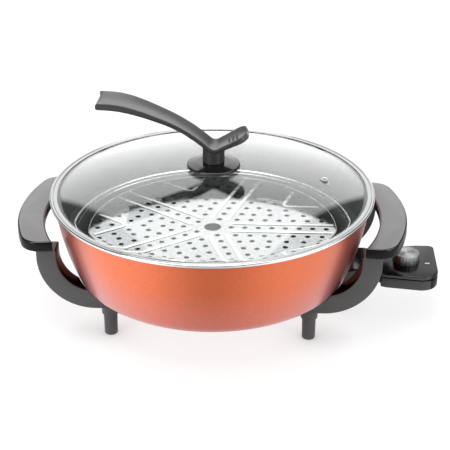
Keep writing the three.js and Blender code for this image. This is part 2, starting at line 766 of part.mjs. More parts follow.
place('lid_ring', turned([
  [ringInnerR, lidTopZ],
  [ringInnerR, lidTopZ - ringWall],
  [lidR - ringWall, lidTopZ - ringWall],
  [lidR - ringWall, ringBottomZ + ringWall],
  [ringInnerR, ringBottomZ + ringWall],
  [ringInnerR - ringWall, ringBottomZ + ringWall],
  [ringInnerR - ringWall, ringBottomZ - ringSkirt],
  [ringInnerR, ringBottomZ - ringSkirt],
  [ringInnerR, ringBottomZ],
  [lidR - ringWall, ringBottomZ],
  [lidR, ringBottomZ + ringRound],
  [lidR, lidTopZ - ringRound],
  [lidR - ringWall, lidTopZ],
  [ringInnerR, lidTopZ],
]), steel);
const ventTopZ = domeZ(ventX - ventR);
const ventLowZ = domeZ(ventX + ventR, glassWall) - gap;
const ventOuter = ventR + ventFlange;
place('steam_vent', turned([
  [ventBoreR, ventLowZ - ventFlangeH],
  [ventOuter, ventLowZ - ventFlangeH],
  [ventOuter, ventLowZ - ventFlangeH / 2],
  [ventR, ventLowZ - ventFlangeH / 2],
  [ventR, domeZ(ventX - ventOuter) + gap],
  [ventOuter, domeZ(ventX - ventOuter) + gap],
  [ventR, ventTopZ + ventFlangeH + gap],
  [ventBoreR, ventTopZ + ventFlangeH + gap],
  [ventBoreR, ventLowZ - ventFlangeH],
], smallSteps), steel, [ventX, 0, 0]);

// Lid handle: flange on the glass, neck and the swept lever with its trough, and the screw from below
const flangeBottomZ = domeZ(0) + gap;
const flangeTopZ = flangeBottomZ + flangeH;
const flange = toSolid(turned([
  [0, flangeBottomZ],
  [flangeR, flangeBottomZ],
  [flangeR, flangeTopZ - flangeEdge],
  [flangeR - flangeEdge, flangeTopZ - flangeEdge / 2],
  [neckR, flangeTopZ],
  [0, flangeTopZ],
], collarSteps));
const screwTopZ = flangeTopZ + neckR;
const flangeHole = toSolid(rod(handleBore, flangeBottomZ - overrun, flangeTopZ + overrun));
place('lid_handle_flange', toGeometry(flange.subtract(flangeHole)), blackPlastic);
const leverPath = arcPoints(-armReach, armTopZ - armR, armR, Math.PI / 2, Math.PI / 2 - armTurn, leverSteps);
const [valleyX, valleyZ] = leverPath[leverPath.length - 1];
const valleyCentre = [valleyX + valleyR * Math.sin(armTurn), valleyZ + valleyR * Math.cos(armTurn)];
const valley = arcPoints(...valleyCentre, valleyR, down - armTurn, down + shortRise, valleySteps);
leverPath.push(...valley.slice(1));
const [riseX, riseZ] = leverPath[leverPath.length - 1];
const endStart = shortReach - shortEndR * Math.cos(shortRise);
[endStart, (endStart + shortReach) / 2, shortReach].forEach((x) => {
  leverPath.push([x, riseZ + (x - riseX) * Math.tan(shortRise)]);
});
function leverSection(halfWidth) {
  const lipX = halfWidth - leverLip;
  const floorX = halfWidth - leverLip - troughDepth;
  return [
    [-halfWidth, -leverChamfer],
    [-halfWidth, leverChamfer - leverDepth],
    [leverChamfer - halfWidth, -leverDepth],
    [halfWidth - leverChamfer, -leverDepth],
    [halfWidth, leverChamfer - leverDepth],
    [halfWidth, -leverChamfer],
    [halfWidth - leverChamfer, 0],
    [lipX, 0],
    [floorX, -troughDepth],
    [-floorX, -troughDepth],
    [-lipX, 0],
    [leverChamfer - halfWidth, 0],
  ];
}
function leverGeometry() {
  const positions = [];
  const faces = [];
  const sides = leverSection(leverHalfWidth).length;
  leverPath.forEach(([x, z], i) => {
    const before = leverPath[Math.max(i - 1, 0)];
    const after = leverPath[Math.min(i + 1, leverPath.length - 1)];
    const length = Math.hypot(after[0] - before[0], after[1] - before[1]);
    const normal = [(before[1] - after[1]) / length, (after[0] - before[0]) / length];
    const past = Math.max(x - endStart, 0) / (shortReach - endStart);
    const narrow = shortEndR * (1 - Math.sqrt(1 - past ** 2));
    const tip = i === 0 ? leverLip / 2 : 0;
    const spread = (leverTipHalfWidth - leverHalfWidth) * Math.max(-x / armReach, 0);
    leverSection(leverHalfWidth + spread - narrow - tip).forEach(([across, up]) => {
      positions.push(x + normal[0] * up, across, z + normal[1] * up);
    });
  });
  for (let i = 0; i < leverPath.length - 1; i += 1) {
    for (let k = 0; k < sides; k += 1) {
      const [a, b] = [i * sides + k, i * sides + ((k + 1) % sides)];
      faces.push(a, b, a + sides, b, b + sides, a + sides);
    }
  }
  const outline = leverSection(leverHalfWidth).map(([across, up]) => new THREE.Vector2(across, up));
  const last = (leverPath.length - 1) * sides;
  THREE.ShapeUtils.triangulateShape(outline, []).forEach(([a, b, c]) => {
    faces.push(a, c, b, last + a, last + b, last + c);
  });
  const geometry = new THREE.BufferGeometry();
  geometry.setAttribute('position', new THREE.Float32BufferAttribute(positions, 3));
  geometry.setIndex(faces);
  return geometry;
}
const middleLine = leverPath.map(([x, z]) => new THREE.Vector2(x, z - (leverDepth + troughDepth) / 2));
const nearNeck = middleLine.filter(({ x }) => Math.abs(x) < neckReach);
const aboveNeck = new THREE.Shape([
  ...nearNeck,
  new THREE.Vector2(nearNeck[nearNeck.length - 1].x, armTopZ),
  new THREE.Vector2(nearNeck[0].x, armTopZ),
]);
const neckBottomZ = flangeTopZ + gap;
const neckTool = toSolid(standing(aboveNeck, -leverHalfWidth * 2, leverHalfWidth * 2));
const neck = toSolid(rod(neckR, neckBottomZ, armTopZ, collarSteps)).subtract(neckTool);
const handleBoreCut = toSolid(rod(handleBore, neckBottomZ - overrun, screwTopZ + gap));
const leverSolid = toSolid(leverGeometry());
place('lid_handle', toGeometry(leverSolid.add(neck).subtract(handleBoreCut)), blackPlastic);
const sealTopZ = domeZ(flangeR, glassWall) - gap;
const seal = toSolid(rod(sealR, sealTopZ - sealH, sealTopZ, collarSteps))
  .subtract(toSolid(rod(handleBore, sealTopZ - sealH - overrun, sealTopZ + overrun)));
place('lid_handle_seal', toGeometry(seal), rubber);
const screwHeadTopZ = sealTopZ - sealH - gap;
place('lid_handle_screw', turned([
  [0, screwHeadTopZ - handleScrewHeadH],
  [handleScrewHeadR, screwHeadTopZ - handleScrewHeadH],
  [handleScrewHeadR, screwHeadTopZ],
  [handleScrewR, screwHeadTopZ],
  [handleScrewR, screwTopZ],
  [0, screwTopZ],
], smallSteps), steel);

// Temperature control: outline with a narrow nose, split into a base and a cover
function controlOutline(inset) {
  const endX = controlEndX - inset;
  const wideHalf = controlWideHalf - inset;
  const nearR = controlCornerR - inset;
  const farR = controlFarR - inset;
  const points = [
    [controlStartX + inset, inset - controlStartHalf],
    [controlShoulderX + inset / 2, inset - controlShoulderHalf],
    [controlWideX, -wideHalf],
  ];
  const shape = new THREE.Shape();
  shape.moveTo(...points[0]);
  points.slice(1).forEach(([x, y]) => shape.lineTo(x, y));
  shape.absarc(controlWideX, nearR - wideHalf, nearR, -Math.PI / 2, 0, false);
  shape.lineTo(endX, wideHalf - farR);
  shape.absarc(endX - farR, wideHalf - farR, farR, 0, Math.PI / 2, false);
  points.reverse().forEach(([x, y]) => shape.lineTo(x, -y));
  return shape;
}
const slab = (shape, z0, z1) => toSolid(extruded(shape, z1 - z0).translate(0, 0, z0));
const noseBottomZ = mouthBottomZ + noseFit;
const noseTopZ = mouthTopZ - noseFit;
const noseHalfY = mouthHalfY - noseFit;
const splitTopZ = controlSplitZ + gap;
const floorZ = controlBottomZ + controlWall;
const nose = toSolid(box(noseStartX, controlStartX + controlWall,
  -noseHalfY, noseHalfY, noseBottomZ, noseTopZ));
const coverOutline = controlOutline(0);
const hollowOutline = controlOutline(controlWall);
const coverRoom = box(controlStartX - gap, controlEndX + overrun, -controlWideHalf * 2, controlWideHalf * 2,
  controlSplitZ, controlTopZ + overrun);
const boltSpots = [-1, 1].map((side) => [housingScrewX, side * housingScrewY]);
const posts = boltSpots.map(([x, y]) =>
  toSolid(rod(postR, floorZ - controlWall / 2, controlSplitZ).translate(x, y, 0)));
const bushCut = toSolid(rodAlongY(bushR + gap, bushStartY - overrun, bushEndY + overrun)
  .translate(bushX, 0, bushZ));
const probeBore = toSolid(rodAlongX(probeR + gap, noseStartX - overrun, probeEndX + gap))
  .translate([0, 0, probeZ]);
const socketBore = toSolid(rodAlongX(socketBoreR, noseStartX - overrun, socketEndX + gap));
const socketBores = [-1, 1].map((side) => socketBore.translate([0, side * pinSpread, pinZ]));
const baseTray = slab(coverOutline, controlBottomZ, controlSplitZ)
  .subtract(slab(hollowOutline, floorZ, controlSplitZ + overrun));
const baseBores = joinAll([
  toSolid(rod(housingScrewR + gap, controlBottomZ - overrun, controlSplitZ + overrun)),
  toSolid(rod(housingScrewHeadR + gap, controlBottomZ - overrun, controlBottomZ + housingScrewHeadH)),
]);
const baseSolid = cutAway(joinAll([baseTray, ...posts, nose.subtract(toSolid(coverRoom))]), [
  probeBore,
  ...socketBores,
  bushCut,
  ...boltSpots.map(([x, y]) => baseBores.translate([x, y, 0])),
]);
place('control_base', toGeometry(baseSolid), blackPlastic);
const roofZ = controlTopZ - recessDepth - controlRoof;
const pilotRoomX = pilotLength / 2 + gap;
const pilotRoomY = pilotWidth / 2 + gap;
const pilotHole = toSolid(box(-pilotRoomX, pilotRoomX, -pilotRoomY, pilotRoomY, -pilotDepth - gap, overrun));
const coverBore = toSolid(rod(housingScrewR + gap, splitTopZ - overrun, roofZ + controlWall / 2));
const coverSolid = cutAway(slab(coverOutline, splitTopZ, controlTopZ), [
  slab(hollowOutline, splitTopZ - overrun, roofZ),
  toSolid(rod(recessR, controlTopZ - recessDepth, controlTopZ + overrun, knobSides).translate(knobX, 0, 0)),
  toSolid(rod(shaftR + shaftPlay, roofZ - overrun, controlTopZ).translate(knobX, 0, 0)),
  pilotHole.translate([pilotX, pilotY, controlTopZ]),
  ...boltSpots.map(([x, y]) => coverBore.translate([x, y, 0])),
]);
place('control_cover', toGeometry(coverSolid), blackPlastic);
place('control_probe', rodAlongX(probeR, probeTipX, probeEndX), steel, [0, 0, probeZ]);
[-1, 1].forEach((side, i) => {
  const sleeve = toSolid(rodAlongX(socketR, socketStartX, socketEndX))
    .subtract(toSolid(rodAlongX(socketInnerR, socketStartX - overrun, socketEndX + overrun)));
  place(`contact_socket_${i + 1}`, toGeometry(sleeve), brass, [0, side * pinSpread, pinZ]);
});
place('contact_arm', box(contactStartX, knobX + contactWidth, -contactWidth / 2, contactWidth / 2,
  contactZ, contactZ + contactWall), brass);
boltSpots.forEach(([x, y], i) => {
  const headTop = controlBottomZ + housingScrewHeadH - gap;
  place(`control_screw_${i + 1}`, turned([
    [0, headTop - housingScrewHeadH + gap * 2],
    [housingScrewHeadR, headTop - housingScrewHeadH + gap * 2],
    [housingScrewHeadR, headTop],
    [housingScrewR, headTop],
    [housingScrewR, roofZ],
    [0, roofZ],
  ], smallSteps), steel, [x, y, 0]);
});
const bushTube = toSolid(rodAlongY(bushR, bushStartY, bushEndY))
  .subtract(toSolid(rodAlongY(bushBoreR, bushStartY - overrun, bushEndY + overrun)));
place('cord_bushing', toGeometry(bushTube), rubber, [bushX, 0, bushZ]);
place('indicator', box(-pilotLength / 2, pilotLength / 2, -pilotWidth / 2, pilotWidth / 2,
  -pilotDepth, pilotProud), white, [pilotX, pilotY, controlTopZ]);

// Knob on its shaft, with a printed disc let into its top
const knobBottomZ = controlTopZ - recessDepth + knobSkirtGap;
const shaftTopZ = knobBottomZ + shaftSocket;
const knobBody = cutAway(toSolid(rod(knobR, knobBottomZ, knobTopZ, knobSides)), [
  toSolid(rod(shaftR + gap, knobBottomZ - overrun, shaftTopZ + gap)),
  toSolid(rod(knobDiscR + gap, knobTopZ - knobDiscH, knobTopZ + overrun, knobSides)),
]);
place('knob', toGeometry(knobBody), blackPlastic, [knobX, 0, 0]);
place('knob_disc', rod(knobDiscR, knobTopZ - knobDiscH + gap, knobTopZ, knobSides), silver, [knobX, 0, 0]);
place('knob_shaft', rod(shaftR, shaftFootZ, shaftTopZ), castSteel, [knobX, 0, 0]);

// The part's own middle: the grips reach out on the left, the control on the right
part.position.x = (gripReach - controlEndX) / 2;

export default part;
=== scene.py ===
import math
import bpy
import bmesh
from mathutils import Matrix, Vector

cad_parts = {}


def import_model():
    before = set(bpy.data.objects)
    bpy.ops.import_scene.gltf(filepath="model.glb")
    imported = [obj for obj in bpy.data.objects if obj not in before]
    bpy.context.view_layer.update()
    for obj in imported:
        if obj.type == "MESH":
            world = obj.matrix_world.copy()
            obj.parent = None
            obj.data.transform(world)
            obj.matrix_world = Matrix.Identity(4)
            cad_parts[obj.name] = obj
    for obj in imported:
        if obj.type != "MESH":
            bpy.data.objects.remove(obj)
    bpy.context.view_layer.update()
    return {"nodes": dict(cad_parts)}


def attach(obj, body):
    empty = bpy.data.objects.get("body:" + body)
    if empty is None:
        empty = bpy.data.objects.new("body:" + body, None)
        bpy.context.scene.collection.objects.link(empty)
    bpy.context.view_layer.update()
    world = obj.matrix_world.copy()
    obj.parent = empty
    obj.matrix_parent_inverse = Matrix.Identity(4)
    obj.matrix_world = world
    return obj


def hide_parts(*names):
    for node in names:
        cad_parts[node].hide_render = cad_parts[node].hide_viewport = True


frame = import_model()
print("frame loaded:", len(frame["nodes"]), "nodes")

# Sizes are in millimetres round the pan's axis, as in the solids, and go to metres when a mesh is made
mm = 0.001
panShift = -18.5


def world(x, y, z):
    return Vector(((x + panShift) * mm, y * mm, z * mm))


# Shapes in two dimensions
def arc(cx, cy, radius, start, end, steps):
    # points on an arc, angles in degrees
    turns = [math.radians(start + (end - start) * i / steps) for i in range(steps + 1)]
    return [(cx + radius * math.cos(t), cy + radius * math.sin(t)) for t in turns]


def rounded(points, closed=False, steps=5):
    # a corner given as (a, b, radius) becomes an arc of that many steps
    made = []
    count = len(points)
    for i, point in enumerate(points):
        radius = point[2] if len(point) > 2 else 0
        if radius <= 0 or (not closed and i in (0, count - 1)):
            made.append((point[0], point[1]))
            continue
        here = Vector(point[:2])
        back = Vector(points[i - 1][:2]) - here
        ahead = Vector(points[(i + 1) % count][:2]) - here
        half = back.angle(ahead) / 2
        reach = min(radius / math.tan(half), back.length * 0.5, ahead.length * 0.5)
        middle = here + (back.normalized() + ahead.normalized()).normalized() * (reach / math.cos(half))
        first = here + back.normalized() * reach - middle
        last = here + ahead.normalized() * reach - middle
        turn = math.atan2(first.x * last.y - first.y * last.x, first.dot(last))
        for k in range(steps + 1):
            c, s = math.cos(turn * k / steps), math.sin(turn * k / steps)
            made.append((middle.x + first.x * c - first.y * s, middle.y + first.x * s + first.y * c))
    return made


def looped(points, steps):
    # a closed profile that ends where it starts
    line = rounded(points, True, steps)
    return line + line[:1]


def bowed(start, end, bow, steps):
    # a line with a belly to its right
    dx, dy = end[0] - start[0], end[1] - start[1]
    length = math.hypot(dx, dy)
    made = []
    for i in range(steps + 1):
        t = i / steps
        out = 4 * bow * t * (1 - t) / length
        made.append((start[0] + dx * t + out * dy, start[1] + dy * t - out * dx))
    return made


def shifted(points, distance):
    # the same line, moved to its left
    made = []
    for i, (x, y) in enumerate(points):
        before, after = points[max(i - 1, 0)], points[min(i + 1, len(points) - 1)]
        dx, dy = after[0] - before[0], after[1] - before[1]
        length = math.hypot(dx, dy)
        made.append((x - distance * dy / length, y + distance * dx / length))
    return made


def radiusAt(line, z):
    for (r0, z0), (r1, z1) in zip(line, line[1:]):
        if z <= z1:
            return r0 + (r1 - r0) * (z - z0) / (z1 - z0)
    return line[-1][0]


def eased(value, low, high):
    # 0 below low, 1 above high, smooth between
    t = min(max((value - low) / (high - low), 0), 1)
    return t * t * (3 - 2 * t)


# Meshes and objects
def newObject(name, data):
    thing = bpy.data.objects.new(name, data)
    bpy.context.scene.collection.objects.link(thing)
    return thing


def meshObject(name, points, edges=(), faces=()):
    # points in metres
    mesh = bpy.data.meshes.new(name)
    mesh.from_pydata(list(points), list(edges), list(faces))
    mesh.update()
    return newObject(name, mesh)


def guideObject(name, points, edges=()):
    # a helper round the origin, read by a tree and then removed
    return meshObject(name, [tuple(c * mm for c in (*p, 0)[:3]) for p in points], edges)


def removed(*things):
    for thing in things:
        bpy.data.objects.remove(thing)


def settle(thing):
    # modifiers become plain mesh
    depsgraph = bpy.context.evaluated_depsgraph_get()
    mesh = bpy.data.meshes.new_from_object(thing.evaluated_get(depsgraph))
    thing.modifiers.clear()
    thing.data = mesh
    mesh.name = thing.name
    return thing


def facingOut(thing, merge=0.0):
    work = bmesh.new()
    work.from_mesh(thing.data)
    if merge:
        bmesh.ops.remove_doubles(work, verts=work.verts, dist=merge)
    bmesh.ops.recalc_face_normals(work, faces=work.faces)
    work.to_mesh(thing.data)
    work.free()
    return thing


def loft(name, rings):
    # closed rings of the same count, one after the other, with both ends filled
    count = len(rings[0])
    faces = [tuple(reversed(range(count))), tuple(range((len(rings) - 1) * count, len(rings) * count))]
    for i in range(len(rings) - 1):
        for k in range(count):
            a, b = i * count + k, i * count + (k + 1) % count
            faces.append((a, b, b + count, a + count))
    return facingOut(meshObject(name, [world(*point) for ring in rings for point in ring], (), faces))


def prism(name, outline, low, high, along="z"):
    # an outline in the XY plane drawn up along Z, or one in the XZ plane drawn along Y
    return loft(name, [[(a, b, level) if along == "z" else (a, level, b) for a, b in outline]
                       for level in (low, high)])


def block(name, x0, x1, y0, y1, z0, z1):
    return prism(name, [(x0, y0), (x1, y0), (x1, y1), (x0, y1)], z0, z1)


def beveled(thing, width, segments=3, angle=35):
    tool = thing.modifiers.new("bevel", "BEVEL")
    tool.width = width * mm
    tool.segments = segments
    tool.limit_method = "ANGLE"
    tool.angle_limit = math.radians(angle)
    return settle(thing)


def combined(thing, tools, how="DIFFERENCE"):
    for other in tools:
        tool = thing.modifiers.new("cut", "BOOLEAN")
        tool.operation = how
        tool.solver = "EXACT"
        tool.object = other
    settle(thing)
    removed(*tools)
    return thing


def mirrored(thing, name, x=1, y=1):
    # a copy on the other side of the pan's axis
    copy = newObject(name, thing.data.copy())
    move = Matrix.Translation(world(0, 0, 0))
    copy.data.transform(move @ Matrix.Diagonal((x, y, 1, 1)) @ move.inverted())
    if x * y < 0:
        copy.data.flip_normals()
    return copy


def zoned(thing, paints, rule):
    # each face takes the paint whose number the rule gives for its middle and facing
    thing.data.materials.clear()
    for paint in paints:
        thing.data.materials.append(paint)
    for face in thing.data.polygons:
        middle = face.center / mm
        middle.x -= panShift
        face.material_index = int(rule(middle, face.normal))


def finished(thing, body, replaced, paint=None, sharp=35):
    # shading, then what the piece rides on, stands for and is made of
    if paint:
        thing.data.materials.clear()
        thing.data.materials.append(paint)
    thing.data.shade_smooth()
    thing.data.set_sharp_from_angle(angle=math.radians(sharp))
    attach(thing, body)
    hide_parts(*replaced)
    return thing


# Node trees
def helpers(tree):
    prefix = tree.bl_idname.replace("Tree", "")

    def wire(made, links):
        # a node goes in by its first output, a socket as it is, and anything else is a plain value
        for key, value in links.items():
            if isinstance(value, bpy.types.Node):
                value = value.outputs[0]
            if isinstance(value, bpy.types.NodeSocket):
                tree.links.new(value, made.inputs[key])
            else:
                made.inputs[key].default_value = value

    def add(kind, links=None, **settings):
        made = tree.nodes.new(kind if "Node" in kind else prefix + kind)
        for key, value in settings.items():
            setattr(made, key, value)
        wire(made, links or {})
        return made

    def calc(how, *values):
        return add("ShaderNodeMath", dict(enumerate(values)), operation=how)

    def ranged(value, low, high, start=0.0, stop=1.0, ramp="LINEAR"):
        return add("ShaderNodeMapRange", {"Value": value, "From Min": low, "From Max": high, "To Min": start,
                                          "To Max": stop}, interpolation_type=ramp)

    def mixed(factor, first, second, **settings):
        return add("Mix", {0: factor, 6: first, 7: second}, data_type="RGBA", **settings).outputs[2]

    return wire, add, calc, ranged, mixed


def newTree(name, **sockets):
    tree = bpy.data.node_groups.new(name, "GeometryNodeTree")
    for label, kind in {**sockets, "Material": "Material"}.items():
        tree.interface.new_socket(label.replace("_", " "), in_out="INPUT", socket_type="NodeSocket" + kind)
    tree.interface.new_socket("Geometry", in_out="OUTPUT", socket_type="NodeSocketGeometry")
    wire, add, calc, *_ = helpers(tree)
    given = add("NodeGroupInput").outputs
    result = add("NodeGroupOutput")

    def shape(source):
        return add("ObjectInfo", {"Object": given[source]}).outputs["Geometry"]

    def joined(*parts):
        made = add("JoinGeometry")
        for part in parts:
            wire(made, {0: part})
        return made

    def end(geometry):
        real = add("RealizeInstances", {"Geometry": geometry})
        wire(result, {0: add("SetMaterial", {"Geometry": real, "Material": given["Material"]})})

    return tree, given, add, calc, shape, joined, end


def grown(name, tree, values):
    # runs a tree on an empty mesh and keeps the result as plain mesh
    thing = newObject(name, bpy.data.meshes.new(name))
    modifier = thing.modifiers.new("grow", "NODES")
    modifier.node_group = tree
    for socket in tree.interface.items_tree:
        if socket.in_out == "INPUT" and socket.name in values:
            modifier[socket.identifier] = values[socket.name]
    return settle(thing)


# A turned piece: each point of the profile goes round the axis in equal steps
turnedTree, given, add, calc, shape, _, end = newTree(
    "turnedPiece", Profile="Object", Profile_Points="Int", Steps="Int", Axis="Vector")
grid = add("MeshGrid", {"Vertices X": calc("ADD", given["Steps"], 1), "Vertices Y": given["Profile Points"]})
index = add("InputIndex")
step = calc("FLOOR", calc("DIVIDE", calc("ADD", index, 0.5), given["Profile Points"]))
row = calc("SUBTRACT", index, calc("MULTIPLY", step, given["Profile Points"]))
angle = calc("DIVIDE", calc("MULTIPLY", step, 2 * math.pi), given["Steps"])
sample = add("SampleIndex", {"Geometry": shape("Profile"), "Index": row}, data_type="FLOAT_VECTOR")
sampled = [socket for socket in sample.inputs if socket.name == "Value" and socket.enabled][0]
turnedTree.links.new(add("InputPosition").outputs[0], sampled)
apart = add("ShaderNodeSeparateXYZ", {0: [socket for socket in sample.outputs if socket.enabled][0]}).outputs
around = add("ShaderNodeCombineXYZ", {
    "X": calc("MULTIPLY", apart["X"], calc("COSINE", angle)),
    "Y": calc("MULTIPLY", apart["X"], calc("SINE", angle)), "Z": apart["Z"]})
moved = add("ShaderNodeVectorMath", {0: around, 1: given["Axis"]}, operation="ADD")
spun = add("SetPosition", {"Geometry": grid, "Position": moved})
end(add("MergeByDistance", {"Geometry": spun, "Distance": 0.000001}))


def turned(name, profile, paint=None, steps=160, centre=(0, 0)):
    # profile points are (radius, z); a profile that starts and ends on the axis, or meets itself, closes
    guide = guideObject(name + "Line", [(r, 0, z) for r, z in profile])
    thing = grown(name, turnedTree, {"Profile": guide, "Profile Points": len(profile), "Steps": steps,
                                     "Axis": world(*centre, 0), "Material": paint})
    removed(guide)
    return facingOut(thing, 0.000001)


# Shader groups
def newGroup(name, ins, outs):
    group = bpy.data.node_groups.new(name, "ShaderNodeTree")
    for label, value in ins.items():
        group.interface.new_socket(label, in_out="INPUT", socket_type="NodeSocketFloat").default_value = value
    for label in outs:
        group.interface.new_socket(label, in_out="OUTPUT", socket_type="NodeSocketFloat")
    wire, add, _, ranged, _ = helpers(group)
    where = add("TexCoord").outputs["Object"]
    return group, wire, add, ranged, add("NodeGroupInput").outputs, add("NodeGroupOutput"), where


# Fine moulded or painted grain, as a height from 0 to 1 and a slow drift of tone
grainGroup, wire, add, _, given, result, where = newGroup(
    "surfaceGrain", {"Scale": 900.0, "Drift Scale": 18.0}, ["Height", "Drift"])
wire(result, {
    "Height": add("TexNoise", {"Vector": where, "Scale": given["Scale"], "Detail": 3.0, "Roughness": 0.6}),
    "Drift": add("TexNoise", {"Vector": where, "Scale": given["Drift Scale"], "Detail": 2.0})})

# Faint wipe marks: a roughness between two values that changes in soft streaks
wipeGroup, wire, add, ranged, given, result, where = newGroup(
    "wipeMarks", {"Low": 0.1, "High": 0.2, "Scale": 30.0}, ["Roughness"])
stretched = add("Mapping", {"Vector": where, "Scale": (1.0, 3.0, 1.0), "Rotation": (0, 0, 0.6)})
marks = add("TexNoise", {"Vector": stretched, "Scale": given["Scale"], "Detail": 4.0, "Roughness": 0.65})
wire(result, {"Roughness": ranged(marks, 0.35, 0.7, given["Low"], given["High"])})

# Metal flakes in paint: small cells, each a little lighter or darker
flakeGroup, wire, add, _, given, result, where = newGroup(
    "paintFlakes", {"Scale": 1400.0}, ["Glint", "Height"])
cells = add("TexVoronoi", {"Vector": where, "Scale": given["Scale"]}).outputs["Color"]
parts = add("SeparateColor", {"Color": cells}).outputs
wire(result, {"Glint": parts[0], "Height": parts[1]})


# Materials
def spaced(sockets):
    return {label.replace("_", " "): value for label, value in sockets.items()}


def newMaterial(name, **sockets):
    paint = bpy.data.materials.new(name)
    paint.use_nodes = True
    paint.node_tree.nodes.clear()
    wire, add, calc, ranged, mixed = helpers(paint.node_tree)
    shader = add("BsdfPrincipled", spaced(sockets))
    output = add("OutputMaterial", {"Surface": shader})

    def grouped(group, **values):
        return add("Group", spaced(values), node_tree=group).outputs

    def bumped(height, distance, strength):
        wire(shader, {"Normal": add("Bump", {"Height": height, "Distance": distance, "Strength": strength})})

    return paint, shader, output, wire, add, calc, ranged, mixed, grouped, bumped


def surfaced(name, dark, light, low, high, grain, drift, streaks, depth, strength, share=None, **sockets):
    # a slow drift of tone, or a share of its own, with wipe marks and a fine grain
    paint, shader, _, wire, add, calc, ranged, mixed, grouped, bumped = newMaterial(name, **sockets)
    surface = grouped(grainGroup, Scale=grain, Drift_Scale=drift)
    factor = share(surface["Drift"], add, calc, ranged) if share else surface["Drift"]
    wire(shader, {"Base Color": mixed(factor, (*dark, 1), (*light, 1)),
                  "Roughness": grouped(wipeGroup, Low=low, High=high, Scale=streaks)[0]})
    bumped(surface["Height"], depth, strength)
    return paint


def plastic(name, dark, light, roughness, grain=900.0, depth=0.00003, spread=0.06, specular=0.5):
    return surfaced(name, dark, light, roughness - spread, roughness + spread, grain, 22.0, 28.0, depth, 0.5,
                    Specular_IOR_Level=specular)


def metal(name, dark, light, low, high, grain=700.0, depth=0.00001, streaks=26.0):
    return surfaced(name, dark, light, low, high, grain, 30.0, streaks, depth, 0.3, Metallic=1.0)


# Copper paint: orange above, pinker low on the bowl and where it turns away, with flakes under a clear coat.
# The pinker tone is partly a pearl tint of the paint and partly painted reflection of the white floor
copperPaint, shader, _, wire, add, calc, ranged, mixed, grouped, bumped = newMaterial(
    "copperPaint", Metallic=0.68, Roughness=0.38, Coat_Weight=0.42, Coat_Roughness=0.22)
height = add("SeparateXYZ", {0: add("TexCoord").outputs["Object"]}).outputs["Z"]
# painted reflection: lower down and towards grazing the base colour goes pinker and paler, for the white
# floor the paint mirrors there, with some pearl tint
rise = ranged(height, 0.045, 0.11, 0.35)
pearlAndFloorReflection = ranged(add("LayerWeight", {"Blend": 0.5}).outputs["Facing"], 0.42, 0.86, 0.0, 0.75, "SMOOTHSTEP")
wander = calc("MULTIPLY", grouped(grainGroup, Scale=600.0, Drift_Scale=9.0)["Drift"], 0.3)
level = calc("SUBTRACT", calc("SUBTRACT", calc("ADD", rise, wander), 0.15), pearlAndFloorReflection)
flakes = grouped(flakeGroup, Scale=1500.0)
tone = mixed(level, (0.68, 0.23, 0.22, 1), (0.72, 0.145, 0.045, 1))
speckled = mixed(1.0, tone, ranged(flakes["Glint"], 0.0, 1.0, 0.9, 1.1), blend_type="MULTIPLY")
wire(shader, {"Base Color": speckled})
bumped(flakes["Height"], 0.00002, 0.25)

nonStick = plastic("nonStick", (0.038, 0.038, 0.04), (0.055, 0.055, 0.058), 0.42, 1400.0, 0.00004, 0.05)
# painted highlight: near-white steel for the bright lines on the pot's rounded lip edges and on the steam
# plate's rib crests
brightLip = metal("brightLip", (0.84, 0.84, 0.85), (0.92, 0.92, 0.93), 0.22, 0.34)
# painted shade: dark steel for the shadow lines along the steam plate's rib feet and for the dark line on the
# lid ring's upper rounding
edgeSteel = metal("edgeSteel", (0.09, 0.092, 0.094), (0.13, 0.132, 0.134), 0.16, 0.26)
polishedSteel = metal("polishedSteel", (0.38, 0.384, 0.388), (0.45, 0.454, 0.458), 0.06, 0.12)
ringSteel = metal("ringSteel", (0.31, 0.314, 0.318), (0.37, 0.374, 0.378), 0.05, 0.1)
bandSteel = metal("bandSteel", (0.3, 0.303, 0.306), (0.38, 0.384, 0.388), 0.12, 0.2)
# painted highlight: light steel for the bright outer wall of the lid ring
hemSteel = metal("hemSteel", (0.72, 0.73, 0.74), (0.82, 0.83, 0.84), 0.1, 0.18)
plainSteel = metal("plainSteel", (0.55, 0.56, 0.57), (0.66, 0.67, 0.68), 0.25, 0.38)
castAluminium = metal("castAluminium", (0.42, 0.42, 0.43), (0.55, 0.55, 0.56), 0.4, 0.55, 300.0, 0.00006)
blackGloss = plastic("blackGloss", (0.006, 0.006, 0.0065), (0.011, 0.011, 0.012), 0.14, 500.0, 0.000015, 0.04)
deepBlack = plastic("deepBlack", (0.0025, 0.0025, 0.0027), (0.005, 0.005, 0.0055), 0.2, 500.0, 0.000015, 0.04,
                    specular=0.14)
# painted reflection: lighter grey for the flat tops of the black grips, for the overhead light they mirror
gripTop = plastic("gripTop", (0.14, 0.14, 0.142), (0.17, 0.17, 0.172), 0.36, 1300.0, 0.00004, 0.04)
leverSatin = plastic("leverSatin", (0.034, 0.034, 0.036), (0.048, 0.048, 0.05), 0.34, 1100.0, 0.00003, 0.04)
# painted light: a lighter grey for the upward faces of the lid lever
leverTop = plastic("leverTop", (0.075, 0.075, 0.077), (0.105, 0.105, 0.108), 0.36, 1300.0, 0.00005, 0.05)
greyPlastic = plastic("greyPlastic", (0.08, 0.081, 0.083), (0.105, 0.106, 0.108), 0.5, 1200.0, 0.00004, 0.05)
